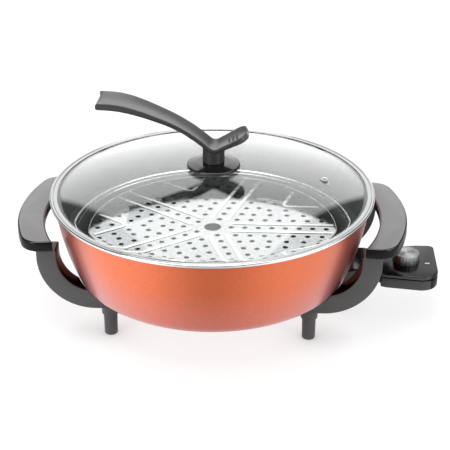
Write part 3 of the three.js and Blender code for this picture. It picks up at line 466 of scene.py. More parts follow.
# painted light: a lighter matt grey for the control's faces turned to the front
controlMatt = plastic("controlMatt", (0.04, 0.04, 0.042), (0.055, 0.055, 0.057), 0.42, 1200.0, 0.00004, 0.05)
softRubber = plastic("softRubber", (0.016, 0.016, 0.016), (0.028, 0.028, 0.028), 0.62, 1000.0, 0.00006, 0.06)
brassParts = metal("brassParts", (0.55, 0.38, 0.13), (0.68, 0.49, 0.19), 0.22, 0.36)
ceramicBlock = plastic("ceramicBlock", (0.62, 0.59, 0.51), (0.72, 0.69, 0.61), 0.6, 600.0, 0.00008, 0.05)
whitePlastic = plastic("whitePlastic", (0.72, 0.72, 0.7), (0.8, 0.8, 0.78), 0.3, 900.0, 0.00001, 0.04)
whitePrint = plastic("whitePrint", (0.6, 0.6, 0.6), (0.7, 0.7, 0.7), 0.4)
darkChrome = metal("darkChrome", (0.38, 0.38, 0.384), (0.5, 0.5, 0.505), 0.36, 0.5, 900.0, 0.00001, 40.0)

# Clear glass with a breath of dust; rays from lamps pass straight through
clearGlass, shader, output, wire, add, calc, ranged, _, grouped, _ = newMaterial(
    "clearGlass", Base_Color=(0.97, 0.985, 0.98, 1), IOR=1.5, Transmission_Weight=1.0)
dust = grouped(grainGroup, Scale=260.0, Drift_Scale=12.0)["Height"]
wire(shader, {"Roughness": ranged(dust, 0.55, 0.85, 0.0, 0.05)})
path = add("LightPath").outputs
lampRay = calc("MAXIMUM", path["Is Shadow Ray"], path["Is Diffuse Ray"])
through = add("BsdfTransparent", {"Color": (0.93, 0.95, 0.945, 1)})
wire(output, {"Surface": add("MixShader", {0: lampRay, 1: shader, 2: through})})
print("materials made")

# Outer shell: foot ring, corner arc, bowed wall, rolled edge over a fine groove, and back down inside
shell = {"bottom": 46.5, "wall": 1.5, "corner": 22, "flat": 134, "rim": 175, "top": 143.3, "belly": 2.8,
         "roll": 1.7, "turn": 67.6, "groove": 0.5, "footRing": 1.2, "footR": 60, "footEdge": 62, "air": 0.6}
pinWindow = {"y0": -16, "y1": 16, "z0": 49.9, "z1": 61.5}


def shellLines(bottom, wall, corner, flat, rim, top, belly, roll, turn, groove, footRing, footR, footEdge,
               air):
    # the inside, the profile, and the outside with a little air round it
    footZ, rollZ = bottom + footRing, top - roll
    outside = arc(flat, bottom + corner, corner, -90, turn - 90, 10)
    outside += bowed(outside[-1], (rim, rollZ - roll), belly, 24)[1:]
    inside = [(flat, bottom + wall)] + shifted(outside, wall)[1:]
    profile = (rounded([(0, footZ), (footR, footZ), (footEdge, bottom, 1), (flat - 4, bottom)])
               + outside + [(rim - groove, rollZ - roll + 0.3)] + arc(rim, rollZ, roll, -60, 90, 10)
               + [(rim - wall, top)] + inside[::-1] + [(0, footZ + wall)])
    room = [(0, bottom - air), (flat, bottom - air)] + shifted(outside, -air)[1:] + [(0, top)]
    return inside, profile, room


shellInside, shellProfile, roomProfile = shellLines(**shell)


def shellRoom():
    # trims what stands against the bowl
    return turned("room", roomProfile)


outerShell = turned("outerShell", shellProfile, copperPaint, 240)
combined(outerShell, [block("cutOut", 139, 159.5, **pinWindow)])
zoned(outerShell, [copperPaint, nonStick], lambda at, facing: (
    at.z > shell["footR"] and at.xy.length < shell["rim"] - 0.2 and facing.xy.dot(at.xy) < 0))
finished(outerShell, "pan", ["outer_shell"], sharp=40)

# Inner pot: floor, corner, wall, rounded lip and the shelf out to the shell
pot = {"floor": 62, "flat": 122, "corner": 22, "wall": 3, "shelf": 101.1, "shelfEdge": 155.9, "lip": 3.3,
       "gap": 0.3}


def potLines(floor, flat, corner, wall, shelf, shelfEdge, lip, gap):
    wallR, cornerZ, under, lipR = flat + corner, floor + corner, shelf - wall, shelfEdge - lip
    rim = radiusAt(shellInside, under) - gap
    lipSpots = [(lipR, shelf - lip), (shelfEdge, shelf)]
    lipLine = rounded([(wallR, cornerZ), (*lipSpots[0], 2.6), (*lipSpots[1], 2.6), (rim, shelf, 0.4),
                       (rim, under, 0.4), (shelfEdge + wall, under, 1), (lipR + wall, under - lip, 1),
                       (wallR + wall, cornerZ)], steps=4)
    return lipSpots, ([(0, floor)] + arc(flat, cornerZ, corner, -90, 0, 12) + lipLine[1:]
                      + arc(flat, cornerZ, corner + wall, 0, -90, 10)[1:] + [(0, floor - wall)])


lipSpots, potProfile = potLines(**pot)
innerPot = turned("innerPot", potProfile, nonStick, 200)
# painted highlight: the two rounded edges of the lip take near-white steel for the bright lines the light
# draws along the dark coating
zoned(innerPot, [nonStick, brightLip], lambda at, facing: facing.z > 0.3 and min(
    math.hypot(at.xy.length - r, at.z - z) for r, z in lipSpots) < 1.35)
finished(innerPot, "pan", ["inner_pot"], sharp=60)
print("pan made")

# Steam plate: holes in channels and chevrons, pressed ribs between them, a rolled edge
plate = {"radius": 140, "top": 98.8, "wall": 1.0, "finger": 9.5, "hole": 3.0, "sectors": 5, "edge": 0.9,
         "ribHalf": 2.0, "ribHeight": 1.8}
pattern = {"channelHoles": 8, "channelStart": 21, "channelPitch": 15.25, "channelHalf": 9.5,
           "chevrons": [(33, 16, 6), (56, 19, 4), (78, 19, 3)], "outerHole": 114, "outerPair": (129, 8),
           "ribStart": 22, "ribEnd": 136, "ribRound": 6.0, "bigApex": 96, "bigEnd": 131}
halfSector = math.pi / plate["sectors"]


def polar(radius, turn=halfSector, side=0):
    return (radius * math.cos(turn) - side * math.sin(turn), radius * math.sin(turn) + side * math.cos(turn))


def chevron(apex, distance, side):
    ax, ay = polar(apex)
    bx, by = polar(distance, halfSector + side * halfSector)
    return (ax + bx, ay + by)


def sectorPattern(channelHoles, channelStart, channelPitch, channelHalf, chevrons, outerHole, outerPair,
                  ribStart, ribEnd, ribRound, bigApex, bigEnd):
    # the holes and the lines of the ribs in one sector
    spots = [polar(channelStart + channelPitch * i, 0) for i in range(channelHoles)]
    for apex, pitch, count in chevrons:
        spots.append(polar(apex))
        spots += [chevron(apex, pitch * i, side) for i in range(1, count + 1) for side in (-1, 1)]
    spots += [polar(outerHole)] + [polar(outerPair[0], side=side * outerPair[1]) for side in (-1, 1)]
    tip = (bigEnd - bigApex) / math.cos(halfSector)
    lines = [[polar(reach, 0, side * channelHalf) for reach in (ribStart, ribEnd)] for side in (-1, 1)]
    lines.append(rounded([chevron(bigApex, tip, -1), (*polar(bigApex), ribRound), chevron(bigApex, tip, 1)]))
    return [spot for spot in spots if math.hypot(*spot) < plate["radius"] - 2 * plate["hole"]], lines


sectorHoles, ribLines = sectorPattern(**pattern)
holeGuide = guideObject("holeGuide", sectorHoles)
ribPoints, ribEdges = [], []
for line in ribLines:
    ribEdges += [(len(ribPoints) + i, len(ribPoints) + i + 1) for i in range(len(line) - 1)]
    ribPoints += line
ribGuide = guideObject("ribGuide", ribPoints, ribEdges)
ribShape = [(plate["ribHalf"] * i / 5, plate["ribHeight"] * (1 + math.cos(math.pi * i / 5)) / 2)
            for i in range(-5, 6)]
ribShape += [(side * plate["ribHalf"], -plate["wall"] / 2) for side in (1, -1)]
ribSection = guideObject("ribSection", ribShape, [(i, (i + 1) % len(ribShape)) for i in range(len(ribShape))])
plateTree, given, add, calc, shape, joined, end = newTree(
    "steamPlate", Sector_Holes="Object", Sector_Ribs="Object", Rib_Section="Object", Sectors="Int",
    Plate_Radius="Float", Finger_Hole="Float", Hole_Radius="Float", Thickness="Float", Edge_Bead="Float",
    Centre="Vector")
hub = add("Points", {"Count": given["Sectors"]})
turnBy = calc("DIVIDE", calc("MULTIPLY", add("InputIndex"), 2 * math.pi), given["Sectors"])
turnVector = add("ShaderNodeCombineXYZ", {"Z": turnBy})


def roundTheHub(source):
    copies = add("InstanceOnPoints", {"Points": hub, "Instance": shape(source), "Rotation": turnVector})
    return add("RealizeInstances", {"Geometry": copies})


def circle(points, radius):
    return add("CurvePrimitiveCircle", {"Resolution": points, "Radius": given[radius]})


def raised(geometry, height):
    return add("Transform", {"Geometry": geometry, "Translation": add("ShaderNodeCombineXYZ", {"Z": height})})


holes = add("InstanceOnPoints", {
    "Points": roundTheHub("Sector Holes"), "Instance": circle(20, "Hole Radius")})
outlines = joined(circle(240, "Plate Radius"), circle(64, "Finger Hole"),
                  add("RealizeInstances", {"Geometry": holes}))
lower = add("FillCurve", {"Curve": outlines})
upper = add("ExtrudeMesh", {"Mesh": lower, "Offset Scale": given["Thickness"], "Individual": False})
sheet = add("MergeByDistance", {
    "Geometry": joined(upper, add("FlipFaces", {"Mesh": lower})), "Distance": 0.00001})
ribs = add("CurveToMesh", {
    "Curve": add("MeshToCurve", {"Mesh": roundTheHub("Sector Ribs")}),
    "Profile Curve": add("MeshToCurve", {"Mesh": shape("Rib Section")}), "Fill Caps": True})
bead = add("CurveToMesh", {"Curve": circle(240, "Plate Radius"), "Profile Curve": circle(12, "Edge Bead")})
middleLevel = calc("MULTIPLY", given["Thickness"], 0.5)
whole = joined(sheet, raised(ribs, given["Thickness"]), raised(bead, middleLevel))
end(add("Transform", {"Geometry": whole, "Translation": given["Centre"]}))
steamPlate = grown("steamPlate", plateTree, {
    "Sector Holes": holeGuide, "Sector Ribs": ribGuide, "Rib Section": ribSection,
    "Sectors": plate["sectors"], "Plate Radius": (plate["radius"] - plate["edge"]) * mm,
    "Finger Hole": plate["finger"] * mm, "Hole Radius": plate["hole"] * mm, "Thickness": plate["wall"] * mm,
    "Edge Bead": plate["edge"] * mm, "Centre": world(0, 0, plate["top"] - plate["wall"]),
    "Material": polishedSteel})
removed(holeGuide, ribGuide, ribSection)
# painted highlight on the rib crests, which take near-white steel, and painted shadow along the rib feet and
# on the edge bead, which take dark steel
zoned(steamPlate, [polishedSteel, brightLip, edgeSteel], lambda at, facing: (
    1 if at.z > plate["top"] + 0.35 else 2 if at.z > plate["top"] - 0.15 and facing.z < 0.95 else 0))
finished(steamPlate, "steam_plate_body", ["steam_plate"], sharp=30)
print("steam plate made:", len(steamPlate.data.polygons), "faces")

# Lid: glass dome, rolled steel ring and the steam vent
lid = {"radius": 180, "top": 147, "wall": 0.5, "width": 8, "glass": 3.2, "edge": 1.8, "rise": 29, "skirt": 5,
       "gap": 0.3}
vent = {"x": 124, "radius": 3.6, "flange": 1.2, "bore": 1.5}


def lidLines(radius, top, wall, width, glass, edge, rise, skirt, gap):
    # the dome's height at a radius, the glass and the ring
    inner, outer, glassTop = radius - width, radius - wall, top - wall - gap
    glassLow = glassTop - edge
    low = glassLow - gap - wall
    domeR = (inner ** 2 + rise ** 2) / (2 * rise)
    upperEnd, lowerEnd = inner - gap, inner - gap - 0.8

    def domeZ(r, thick=0):
        return glassTop + rise - domeR + math.sqrt((domeR - thick) ** 2 - r ** 2)

    def domeLine(end, thick=0):
        return [(end * i / 40, domeZ(end * i / 40, thick)) for i in range(41)]

    glassEdge = rounded([(lowerEnd + 0.1, glassLow), (outer - gap, glassLow, 0.7),
                         (outer - gap, glassTop, 0.7), (upperEnd + 1, glassTop)])
    glassLine = domeLine(lowerEnd, glass) + glassEdge + domeLine(upperEnd)[::-1]
    ringLine = looped([
        (radius - 3.4, top - 0.35, 0.2), (radius - 3.9, top - 0.05, 0.2), (inner, top - 0.05, 0.25),
        (inner, top - wall, 0.15), (outer, top - wall, 0.3), (outer, low + wall, 0.3), (inner, low + wall),
        (inner - wall, low + wall, 0.4), (inner - wall, low - skirt, 0.2), (inner, low - skirt, 0.2),
        (inner, low, 0.4), (radius, low, 1.3), (radius, top + 0.2, 1.5), (radius - 2.9, top + 0.15, 0.5)], 6)
    return domeZ, glassLine, ringLine


def ventLine(x, radius, flange, bore):
    top, low = domeZ(x - radius), domeZ(x + radius, lid["glass"]) - lid["gap"]
    outer = radius + flange
    seat = domeZ(x - outer) + lid["gap"]
    return looped([
        (bore, low - 1.2), (outer, low - 1.2, 0.3), (outer, low - 0.6, 0.3), (radius, low - 0.6),
        (radius, seat), (outer, seat, 0.3), (outer - 0.5, top + 0.7, 0.6), (bore + 0.8, top + 1.1, 0.4),
        (bore, top + 0.6, 0.3)], 4)


domeZ, glassProfile, ringProfile = lidLines(**lid)
lidGlass = turned("lidGlass", glassProfile, clearGlass, 200)
finished(lidGlass, "lid_body", ["lid_glass"], sharp=50)
lidRing = turned("lidRing", ringProfile, ringSteel, 240)
# painted light on one steel ring: the outer wall takes light steel for a painted highlight, and the upper
# outer rounding takes dark steel for a painted shade line
zoned(lidRing, [ringSteel, edgeSteel, hemSteel, bandSteel], lambda at, facing: (
    3 if at.xy.length < lid["radius"] - 3.5 and facing.z > 0.5
    else 0 if at.xy.length < lid["radius"] - 1.7 or facing.xy.dot(at.xy) < 0 or facing.z > 0.98
    else 1 if facing.z > 0.86 else 2))
finished(lidRing, "lid_body", ["lid_ring"], sharp=50)
steamVent = turned("steamVent", ventLine(**vent), plainSteel, 48, (vent["x"], 0))
zoned(steamVent, [ringSteel, darkChrome], lambda at, facing: (
    math.hypot(at.x - vent["x"], at.y) < vent["bore"] + 0.5 or abs(facing.z) < 0.5))
finished(steamVent, "lid_body", ["steam_vent"], sharp=60)
print("lid made")

# Lid handle: flange, neck and the swept lever with its trough
flange = {"radius": 29.9, "height": 5.6, "neckR": 12.1, "neckTop": 215, "gap": 0.3}
lever = {"top": 251.3, "reach": 122, "armR": 177, "armTurn": 42.5, "valleyR": 8, "rise": 30, "shortReach": 37,
         "shortEnd": 12, "tipRound": 2.6, "tipLift": 2.4, "sag": 1.6, "halfWidth": 16, "tipHalf": 20,
         "endHalf": 18, "depth": 7.9, "thinDepth": 5.2, "trough": 0.52, "lip": 1.6, "lipRound": 1.0,
         "hollowTip": 4.2}
hubAxis = (1.4, 0)


def leverPath(top, reach, armR, armTurn, valleyR, rise, shortReach, shortEnd, tipRound, tipLift, sag,
              **others):
    # the top line from the tip to the end of the short arm, where that arm starts, and where its end starts
    path = arc(-reach, top - armR, armR, 90, 90 - armTurn, 44)
    turn, slope = math.radians(armTurn), math.radians(rise)
    middle = (path[-1][0] + valleyR * math.sin(turn), path[-1][1] + valleyR * math.cos(turn))
    path += arc(*middle, valleyR, -90 - armTurn, rise - 90, 12)[1:]
    riseX, riseZ = path[-1]
    endStart = shortReach - shortEnd * math.cos(slope)
    endLength = shortReach - endStart
    along = [riseX + (endStart - riseX) * i / 8 for i in range(1, 9)]
    along += [endStart + endLength * math.sin(math.pi / 2 * i / 10) for i in range(1, 10)]
    path += [(x, riseZ + (x - riseX) * math.tan(slope)) for x in along + [endStart + endLength * 0.997]]
    # the long arm flattens out towards its tip, and the tip's end is rounded over its own few rings
    path = [(x, z + tipLift - (tipLift + sag) * eased(x, -108, -50)) for x, z in path]
    tipX = path[0][0] - 2.2
    tip = [(tipX + tipRound * (1 - math.cos(math.pi / 2 * k / 6)), path[0][1]) for k in range(6)]
    return tip + [point for point in path if point[0] > tipX + tipRound + 0.3], riseX, riseZ, endStart


def leverSection(half, depth, lip, lipRound, trough):
    # two thin lips, and one wide hollow between them
    edge, hollow = half - lip, depth * trough
    points = [(-half, 0, lipRound), (-half, -depth, 1.8), (half, -depth, 1.8), (half, 0, lipRound),
              (edge, 0, 0.3)]
    points += [(edge * t, -hollow * (1 - abs(t) ** 2.4)) for t in [0.92 - 0.115 * k for k in range(17)]]
    return rounded(points + [(-edge, 0, 0.3)], closed=True, steps=5)


def leverRings(path, endStart, shortReach, shortEnd, tipRound, halfWidth, tipHalf, endHalf, depth, thinDepth,
               trough, lip, lipRound, hollowTip, **others):
    tipX, rings = path[0][0], []
    for i, (x, z) in enumerate(path):
        before, after = path[max(i - 1, 0)], path[min(i + 1, len(path) - 1)]
        length = math.hypot(after[0] - before[0], after[1] - before[1])
        aheadX, aheadZ = (after[0] - before[0]) / length, (after[1] - before[1]) / length
        past = max(x - endStart, 0) / (shortReach - endStart)
        half = (halfWidth + (tipHalf - halfWidth) * eased(-x, 20, 104)
                + (endHalf - halfWidth) * eased(x, 0, 34) - shortEnd * (1 - math.sqrt(max(1 - past ** 2, 0))))
        deep = depth - (depth - thinDepth) * (eased(x, -112, -30) - 0.7 * eased(x, 8, 34))
        shrink = tipRound * (1 - math.sqrt(1 - (1 - min((x - tipX) / tipRound, 1)) ** 2))
        ring = []
        for across, up in leverSection(half, deep, lip, lipRound, trough):
            hollow = ((hollowTip - 1.8 * across / half) * (1 - (across / half) ** 6)
                      * (1 - eased(x, tipX, tipX + 12)))
            up = min(max(up, shrink - deep), -shrink)
            ring.append((x - aheadZ * up + aheadX * hollow, across, z + aheadX * up + aheadZ * hollow))
        rings.append(ring)
    return rings


flangeZ = domeZ(0) + flange["gap"]
flangeTop = flangeZ + flange["height"]
flangeProfile = rounded([
    (0, flangeZ), (flange["radius"] - 0.5, flangeZ, 0.6), (flange["radius"], flangeTop - 2.4, 1.6),
    (flange["neckR"] + 6, flangeTop - 0.3, 3), (0, flangeTop)], steps=6)
lidFlange = turned("lidHandleFlange", flangeProfile, leverSatin, 120, hubAxis)
zoned(lidFlange, [leverSatin, blackGloss], lambda at, facing: facing.z > 0.25)
finished(lidFlange, "lid_body", ["lid_handle_flange"], sharp=50)
armPath, riseX, riseZ, endStart = leverPath(**lever)
lidHandle = loft("lidHandle", leverRings(armPath, endStart, **lever))
neckZ, neckR, neckTop = flangeTop + flange["gap"], flange["neckR"], flange["neckTop"]
neck = turned("neck", [(0, neckZ), (neckR, neckZ), (neckR, neckTop), (0, neckTop)], None, 96, hubAxis)
underLever = [(x, z - 0.8 * lever["thinDepth"]) for x, z in armPath if abs(x) < 32]
overLever = prism("overLever", underLever + [(underLever[-1][0], 240), (underLever[0][0], 240)], -40, 40, "y")
combined(neck, [overLever])
combined(lidHandle, [neck], "UNION")
# painted light: faces of the lever turned upwards take a lighter grey than the rest of the same plastic
zoned(lidHandle, [leverSatin, leverTop], lambda at, facing: facing.z > 0.3)
finished(lidHandle, "lid_body", ["lid_handle"], sharp=38)

# Three short grip ribs across the small arm, set along its slope
gripRib = {"count": 3, "startX": 18.6, "pitch": 4.1, "length": 15, "radius": 0.95, "slant": 0.1}
ribTree, given, add, calc, _, _, end = newTree(
    "gripRibs", Count="Int", Start="Vector", Step="Vector", Length="Float", Radius="Float", Slant="Float")
row = add("MeshLine", {"Count": given["Count"], "Start Location": given["Start"], "Offset": given["Step"]})
start, stop = [add("ShaderNodeCombineXYZ", {"Y": calc("MULTIPLY", given["Length"], share)})
               for share in (-0.5, 0.5)]
line = add("ResampleCurve", {"Curve": add("CurvePrimitiveLine", {"Start": start, "End": stop}), "Count": 17})
factor = add("SplineParameter").outputs["Factor"]
fromMiddle = calc("ABSOLUTE", calc("SUBTRACT", calc("MULTIPLY", factor, 2), 1))
roundEnd = calc("SQRT", calc("SUBTRACT", 1.002, calc("POWER", fromMiddle, 6)))
rib = add("CurveToMesh", {
    "Curve": add("SetCurveRadius", {"Curve": line, "Radius": roundEnd}),
    "Profile Curve": circle(14, "Radius"), "Scale": roundEnd, "Fill Caps": True})
tilt = add("ShaderNodeCombineXYZ", {"Z": given["Slant"]})
end(add("InstanceOnPoints", {"Points": row, "Instance": rib, "Rotation": tilt}))
slope = math.radians(lever["rise"])
ribStartZ = (riseZ - lever["sag"] + (gripRib["startX"] - riseX) * math.tan(slope)
             - lever["trough"] * lever["thinDepth"] / math.cos(slope))
gripRibs = grown("lidHandleRibs", ribTree, {
    "Count": gripRib["count"], "Start": world(gripRib["startX"], 0, ribStartZ),
    "Step": Vector((gripRib["pitch"] * mm, 0, gripRib["pitch"] * mm * math.tan(slope))),
    "Length": gripRib["length"] * mm, "Radius": gripRib["radius"] * mm, "Slant": gripRib["slant"],
    "Material": deepBlack})
finished(facingOut(gripRibs), "lid_body", [])
print("handle made")

# Struts: a C from the grip down and in under the bowl, with the collar that takes the peg
strut = {"outX": 186.8, "inR": 39.5, "outR": 61.5, "arcX": 125.3, "arcZ": 98, "top": 107.7, "legX": 110}
strutFront, strutWidth, strutEdge = 80, 22, 1.3
collar = {"radius": 10, "low": 26, "top": 45.9}
legY = strutFront - strutWidth / 2


def strutLine(outX, inR, outR, arcX, arcZ, top, legX):
    return ([(outX, top), (arcX + inR, top)] + arc(arcX, arcZ, inR, 0, -90, 24)
            + [(legX, arcZ - inR), (legX, arcZ - outR)] + arc(arcX, arcZ, outR, -90, 0, 30))


def collarLine(radius, low, top):
    return rounded([(0, low), (radius - 0.6, low, 0.8), (radius, top, 0.4), (0, top)], steps=4)


rightFront = prism("rightFrontStrut", strutLine(**strut), -strutFront, strutWidth - strutFront, "y")
beveled(rightFront, strutEdge, 3, 40)
combined(rightFront, [turned("collar", collarLine(**collar), None, 64, (strut["legX"], -legY))], "UNION")
combined(rightFront, [shellRoom()])
# painted shade: inner faces turned to the bowl above the collar are near black, the rest of the strut grey
# plastic
zoned(rightFront, [greyPlastic, deepBlack], lambda at, facing: (
    abs(facing.y) < 0.7 and at.z > collar["top"] + 5
    and facing.x * (at.x - strut["arcX"]) + facing.z * (at.z - strut["arcZ"]) < 0))
for side, x in (("right", 1), ("left", -1)):
    for place, y in (("Front", 1), ("Rear", -1)):
        name = side + place + "Strut"
        piece = rightFront if name == rightFront.name else mirrored(rightFront, name, x, y)
        finished(piece, "pan", [f"{side}_{place.lower()}_strut"], sharp=32)

# Pegs and screws: one turned piece of each kind, set at four places
peg = {"radius": 7.6, "edge": 2.2, "top": 25.7, "spigot": 4.6, "spigotTop": 34, "bore": 2.4, "sink": 4.0,
       "seat": 8.4}
screw = {"head": 3.6, "headH": 2.1, "shank": 2.0, "crossArm": 2.2, "crossHalf": 0.45, "crossTop": 1.3,
         "legLow": 6, "legTop": 51.1, "gripLow": 93.4, "gripTop": 116, "gripSize": 0.85}


def pegLine(radius, edge, top, spigot, spigotTop, bore, sink, seat):
    return looped([(sink, 0, 0.4), (radius - 0.25, 0, edge), (radius, top, 0.6), (spigot, top),
                   (spigot, spigotTop, 0.5), (bore, spigotTop, 0.3), (bore, seat), (sink, seat)], 5)


def screwPiece(name, top):
    # head at the bottom with a cross recess, shank up to top, all from z 0
    profile = rounded([(0, 0.25), (screw["head"], 0.5, 0.6), (screw["head"], screw["headH"], 0.2),
                       (screw["shank"], screw["headH"]), (screw["shank"], top, 0.3), (0, top)], steps=3)
    long, half = screw["crossArm"], screw["crossHalf"]
    return combined(turned(name, profile, None, 40), [
        block("arm", -a, a, -b, b, -1, screw["crossTop"]) for a, b in ((long, half), (half, long))])


copyTree, given, add, _, shape, _, end = newTree("setAtSpots", Piece="Object", Spots="Object", Size="Float")
size = add("ShaderNodeCombineXYZ", {"X": given["Size"], "Y": given["Size"], "Z": 1.0})
end(add("InstanceOnPoints", {"Points": shape("Spots"), "Instance": shape("Piece"), "Scale": size}))


def setAtSpots(name, piece, z, x, paint, size=1.0):
    # the piece stands on the pan's axis at z 0, and goes to the four places
    guide = guideObject(name + "Spots", [(sx * x, sy * legY, z) for sx in (-1, 1) for sy in (-1, 1)])
    piece.data.transform(Matrix.Translation(-world(0, 0, 0)))
    guide.data.transform(Matrix.Translation(world(0, 0, 0)))
    made = grown(name, copyTree, {"Piece": piece, "Spots": guide, "Size": size, "Material": paint})
    removed(guide, piece)
    return made


def atLegs(kind):
    return [f"{side}_{place}_{kind}" for side in ("left", "right") for place in ("front", "rear")]


pegs = setAtSpots("footPegs", turned("peg", pegLine(**peg), None, 48), 0, strut["legX"], greyPlastic)
finished(pegs, "pan", atLegs("peg"), sharp=32)
legScrews = setAtSpots("legScrews", screwPiece("legScrew", screw["legTop"] - screw["legLow"]),
                       screw["legLow"], strut["legX"], plainSteel)
finished(legScrews, "pan", atLegs("leg_screw"))
gripScrews = setAtSpots("gripScrews", screwPiece("gripScrew", screw["gripTop"] - screw["gripLow"]),
                        screw["gripLow"], strut["outX"] - strutWidth / 2, plainSteel, screw["gripSize"])
finished(gripScrews, "pan", atLegs("grip_screw"))
print("struts and pegs made")

# Side grips: half-moon slabs with glossy edges and a matt top, the top painted lighter grey as painted
# reflection of the light overhead
grip = {"inner": 187, "outer": 200, "reach": 217, "halfY": 86, "corner": 22}
gripHeight = {"low": 108, "high": 120}


def gripLine(inner, outer, reach, halfY, corner):
    middle, edgeY, cornerReach = reach - outer, halfY - corner, outer - corner
    edgeTurn = math.degrees(math.asin(edgeY / cornerReach))
    innerTurn = math.degrees(math.asin(halfY / inner)) - 0.7
    cornerX = middle + cornerReach * math.cos(math.radians(edgeTurn))
    return (arc(0, 0, inner, innerTurn, -innerTurn, 40) + arc(cornerX, -edgeY, corner, -90, -edgeTurn, 16)
            + arc(middle, 0, outer, -edgeTurn, edgeTurn, 40)[1:-1]
            + arc(cornerX, edgeY, corner, edgeTurn, 90, 16))


rightGrip = beveled(prism("rightGrip", gripLine(**grip), **gripHeight), 2, 4, 40)
# painted reflection: the flat tops take the lighter grey, the bevels glossy black and the walls deep black
zoned(rightGrip, [deepBlack, gripTop, blackGloss],
      lambda at, facing: 1 if facing.z > 0.999 else 2 if facing.z > 0.25 else 0)
leftGrip = mirrored(rightGrip, "leftGrip", -1, 1)
finished(rightGrip, "pan", ["right_grip"], sharp=50)
finished(leftGrip, "pan", ["left_grip"], sharp=50)
print("grips made")

# Terminal shroud: a box on the bowl with a mouth towards the control
shroud = {"x0": 140, "x1": 176, "y0": -27, "y1": 27, "z0": 43.4, "z1": 64}
shroudWall, shroudBack, over = 2.2, 160, 5
mouth = {key: value + shroudWall * (1 if key[1] == "0" else -1) for key, value in shroud.items()}
mouth.update(x0=shroudBack, x1=shroud["x1"] + over)
shroudBody = beveled(block("terminalShroud", **shroud), 1.6)
window = block("window", shroud["x0"] - over, shroudBack + over, **pinWindow)
combined(shroudBody, [block("mouth", **mouth), window, shellRoom()])
finished(shroudBody, "pan", ["terminal_shroud"], blackGloss)

# Temperature control: base and cover over one outline, with a narrow nose
housing = {"start": 190, "end": 254, "startHalf": 31, "shoulderX": 197, "shoulderHalf": 33.5, "wideX": 234,
           "wideHalf": 39, "nearCorner": 20, "farCorner": 6}
control = {"low": 45, "split": 57, "top": 62, "seam": 0.3, "noseStart": 161, "noseHalf": 24.2,
           "noseLow": 46.2, "noseTop": 61.2, "baseEdge": 0.8, "coverEdge": 1.6}
knob = {"x": 219.5, "radius": 14.7, "low": 60, "top": 73, "disc": 13.2, "discH": 0.8, "flutes": 24,
        "flute": 0.3, "recessR": 15.3, "recessDepth": 2.4}
lamp = {"x": 243.4, "y": -5.4, "halfX": 3, "halfY": 1, "low": 60.4, "top": 62.3, "gap": 0.3,
        "recessDepth": 1.9}


def housingLine(start, end, startHalf, shoulderX, shoulderHalf, wideX, wideHalf, nearCorner, farCorner):
    near, far = [rounded([(start, 0), (start, side * startHalf, 1.5), (shoulderX, side * shoulderHalf, 4),
                          (wideX, side * wideHalf)])[1:-1] for side in (-1, 1)]
    return (near + arc(end - nearCorner, nearCorner - wideHalf, nearCorner, -90, 0, 16)
            + arc(end - farCorner, wideHalf - farCorner, farCorner, 0, 90, 8)
            + [(wideX, wideHalf)] + far[::-1])


def noseBlock(name, past, low, top):
    half = control["noseHalf"]
    return block(name, control["noseStart"], housing["start"] + past, -half, half, low, top)


def lampBlock(name, gap, low, top):
    halfX, halfY = lamp["halfX"] + gap, lamp["halfY"] + gap
    return block(name, lamp["x"] - halfX, lamp["x"] + halfX, lamp["y"] - halfY, lamp["y"] + halfY, low, top)


controlOutline = housingLine(**housing)
controlBase = prism("controlBase", controlOutline, control["low"], control["split"])
combined(controlBase, [noseBlock("nose", 2, control["noseLow"], control["split"])], "UNION")
beveled(controlBase, control["baseEdge"], 2)
noseTop = noseBlock("controlNose", -control["seam"], control["split"] - 0.05, control["noseTop"])
combined(controlBase, [beveled(noseTop, control["baseEdge"], 2)], "UNION")
# painted light: the faces turned to the front are lighter matt grey, the rest of the base black
zoned(controlBase, [deepBlack, controlMatt], lambda at, facing: facing.y < -0.85)
finished(controlBase, "control_body", ["control_base"])
controlCover = prism("controlCover", controlOutline, control["split"] + control["seam"], control["top"])
beveled(controlCover, control["coverEdge"], 4)
combined(controlCover, [
    prism("recess", arc(knob["x"], 0, knob["recessR"], 0, 354, 59), control["top"] - knob["recessDepth"],
          control["top"] + over),
    lampBlock("lampRoom", lamp["gap"], control["top"] - lamp["recessDepth"], control["top"] + over)])
# painted light: the front wall is lighter matt grey, the bevels glossy black and the top deep black
zoned(controlCover, [deepBlack, blackGloss, controlMatt],
      lambda at, facing: 2 if facing.y < -0.85 and facing.z < 0.3 else 0.2 < facing.z < 0.98)
finished(controlCover, "control_body", ["control_cover"])
indicator = beveled(lampBlock("indicatorLamp", 0, lamp["low"], lamp["top"]), 0.5)
finished(indicator, "control_body", ["indicator"], whitePlastic)

# Knob: fluted drum with a printed disc let into its top
knobAxis = (knob["x"], 0)
discFloor, discEdge = knob["top"] - knob["discH"], knob["disc"] + 0.3
knobProfile = rounded([
    (0, knob["low"]), (knob["radius"] - 0.2, knob["low"], 0.6), (knob["radius"], knob["low"] + 3),
    (knob["radius"] - 0.4, knob["top"], 1.1), (discEdge, knob["top"], 0.3), (discEdge, discFloor),
    (0, discFloor)])
knobDrum = turned("knob", knobProfile, darkChrome, 240, knobAxis)
middle = world(*knobAxis, 0)
for vertex in knobDrum.data.vertices:
    out = Vector((vertex.co.x - middle.x, vertex.co.y - middle.y))
    if out.length > (knob["radius"] - 1.2) * mm:
        depth = knob["flute"] * mm * (0.5 - 0.5 * math.cos(knob["flutes"] * math.atan2(out.y, out.x)))
        vertex.co.x -= out.x / out.length * depth
        vertex.co.y -= out.y / out.length * depth
finished(knobDrum, "knob_body", ["knob"])


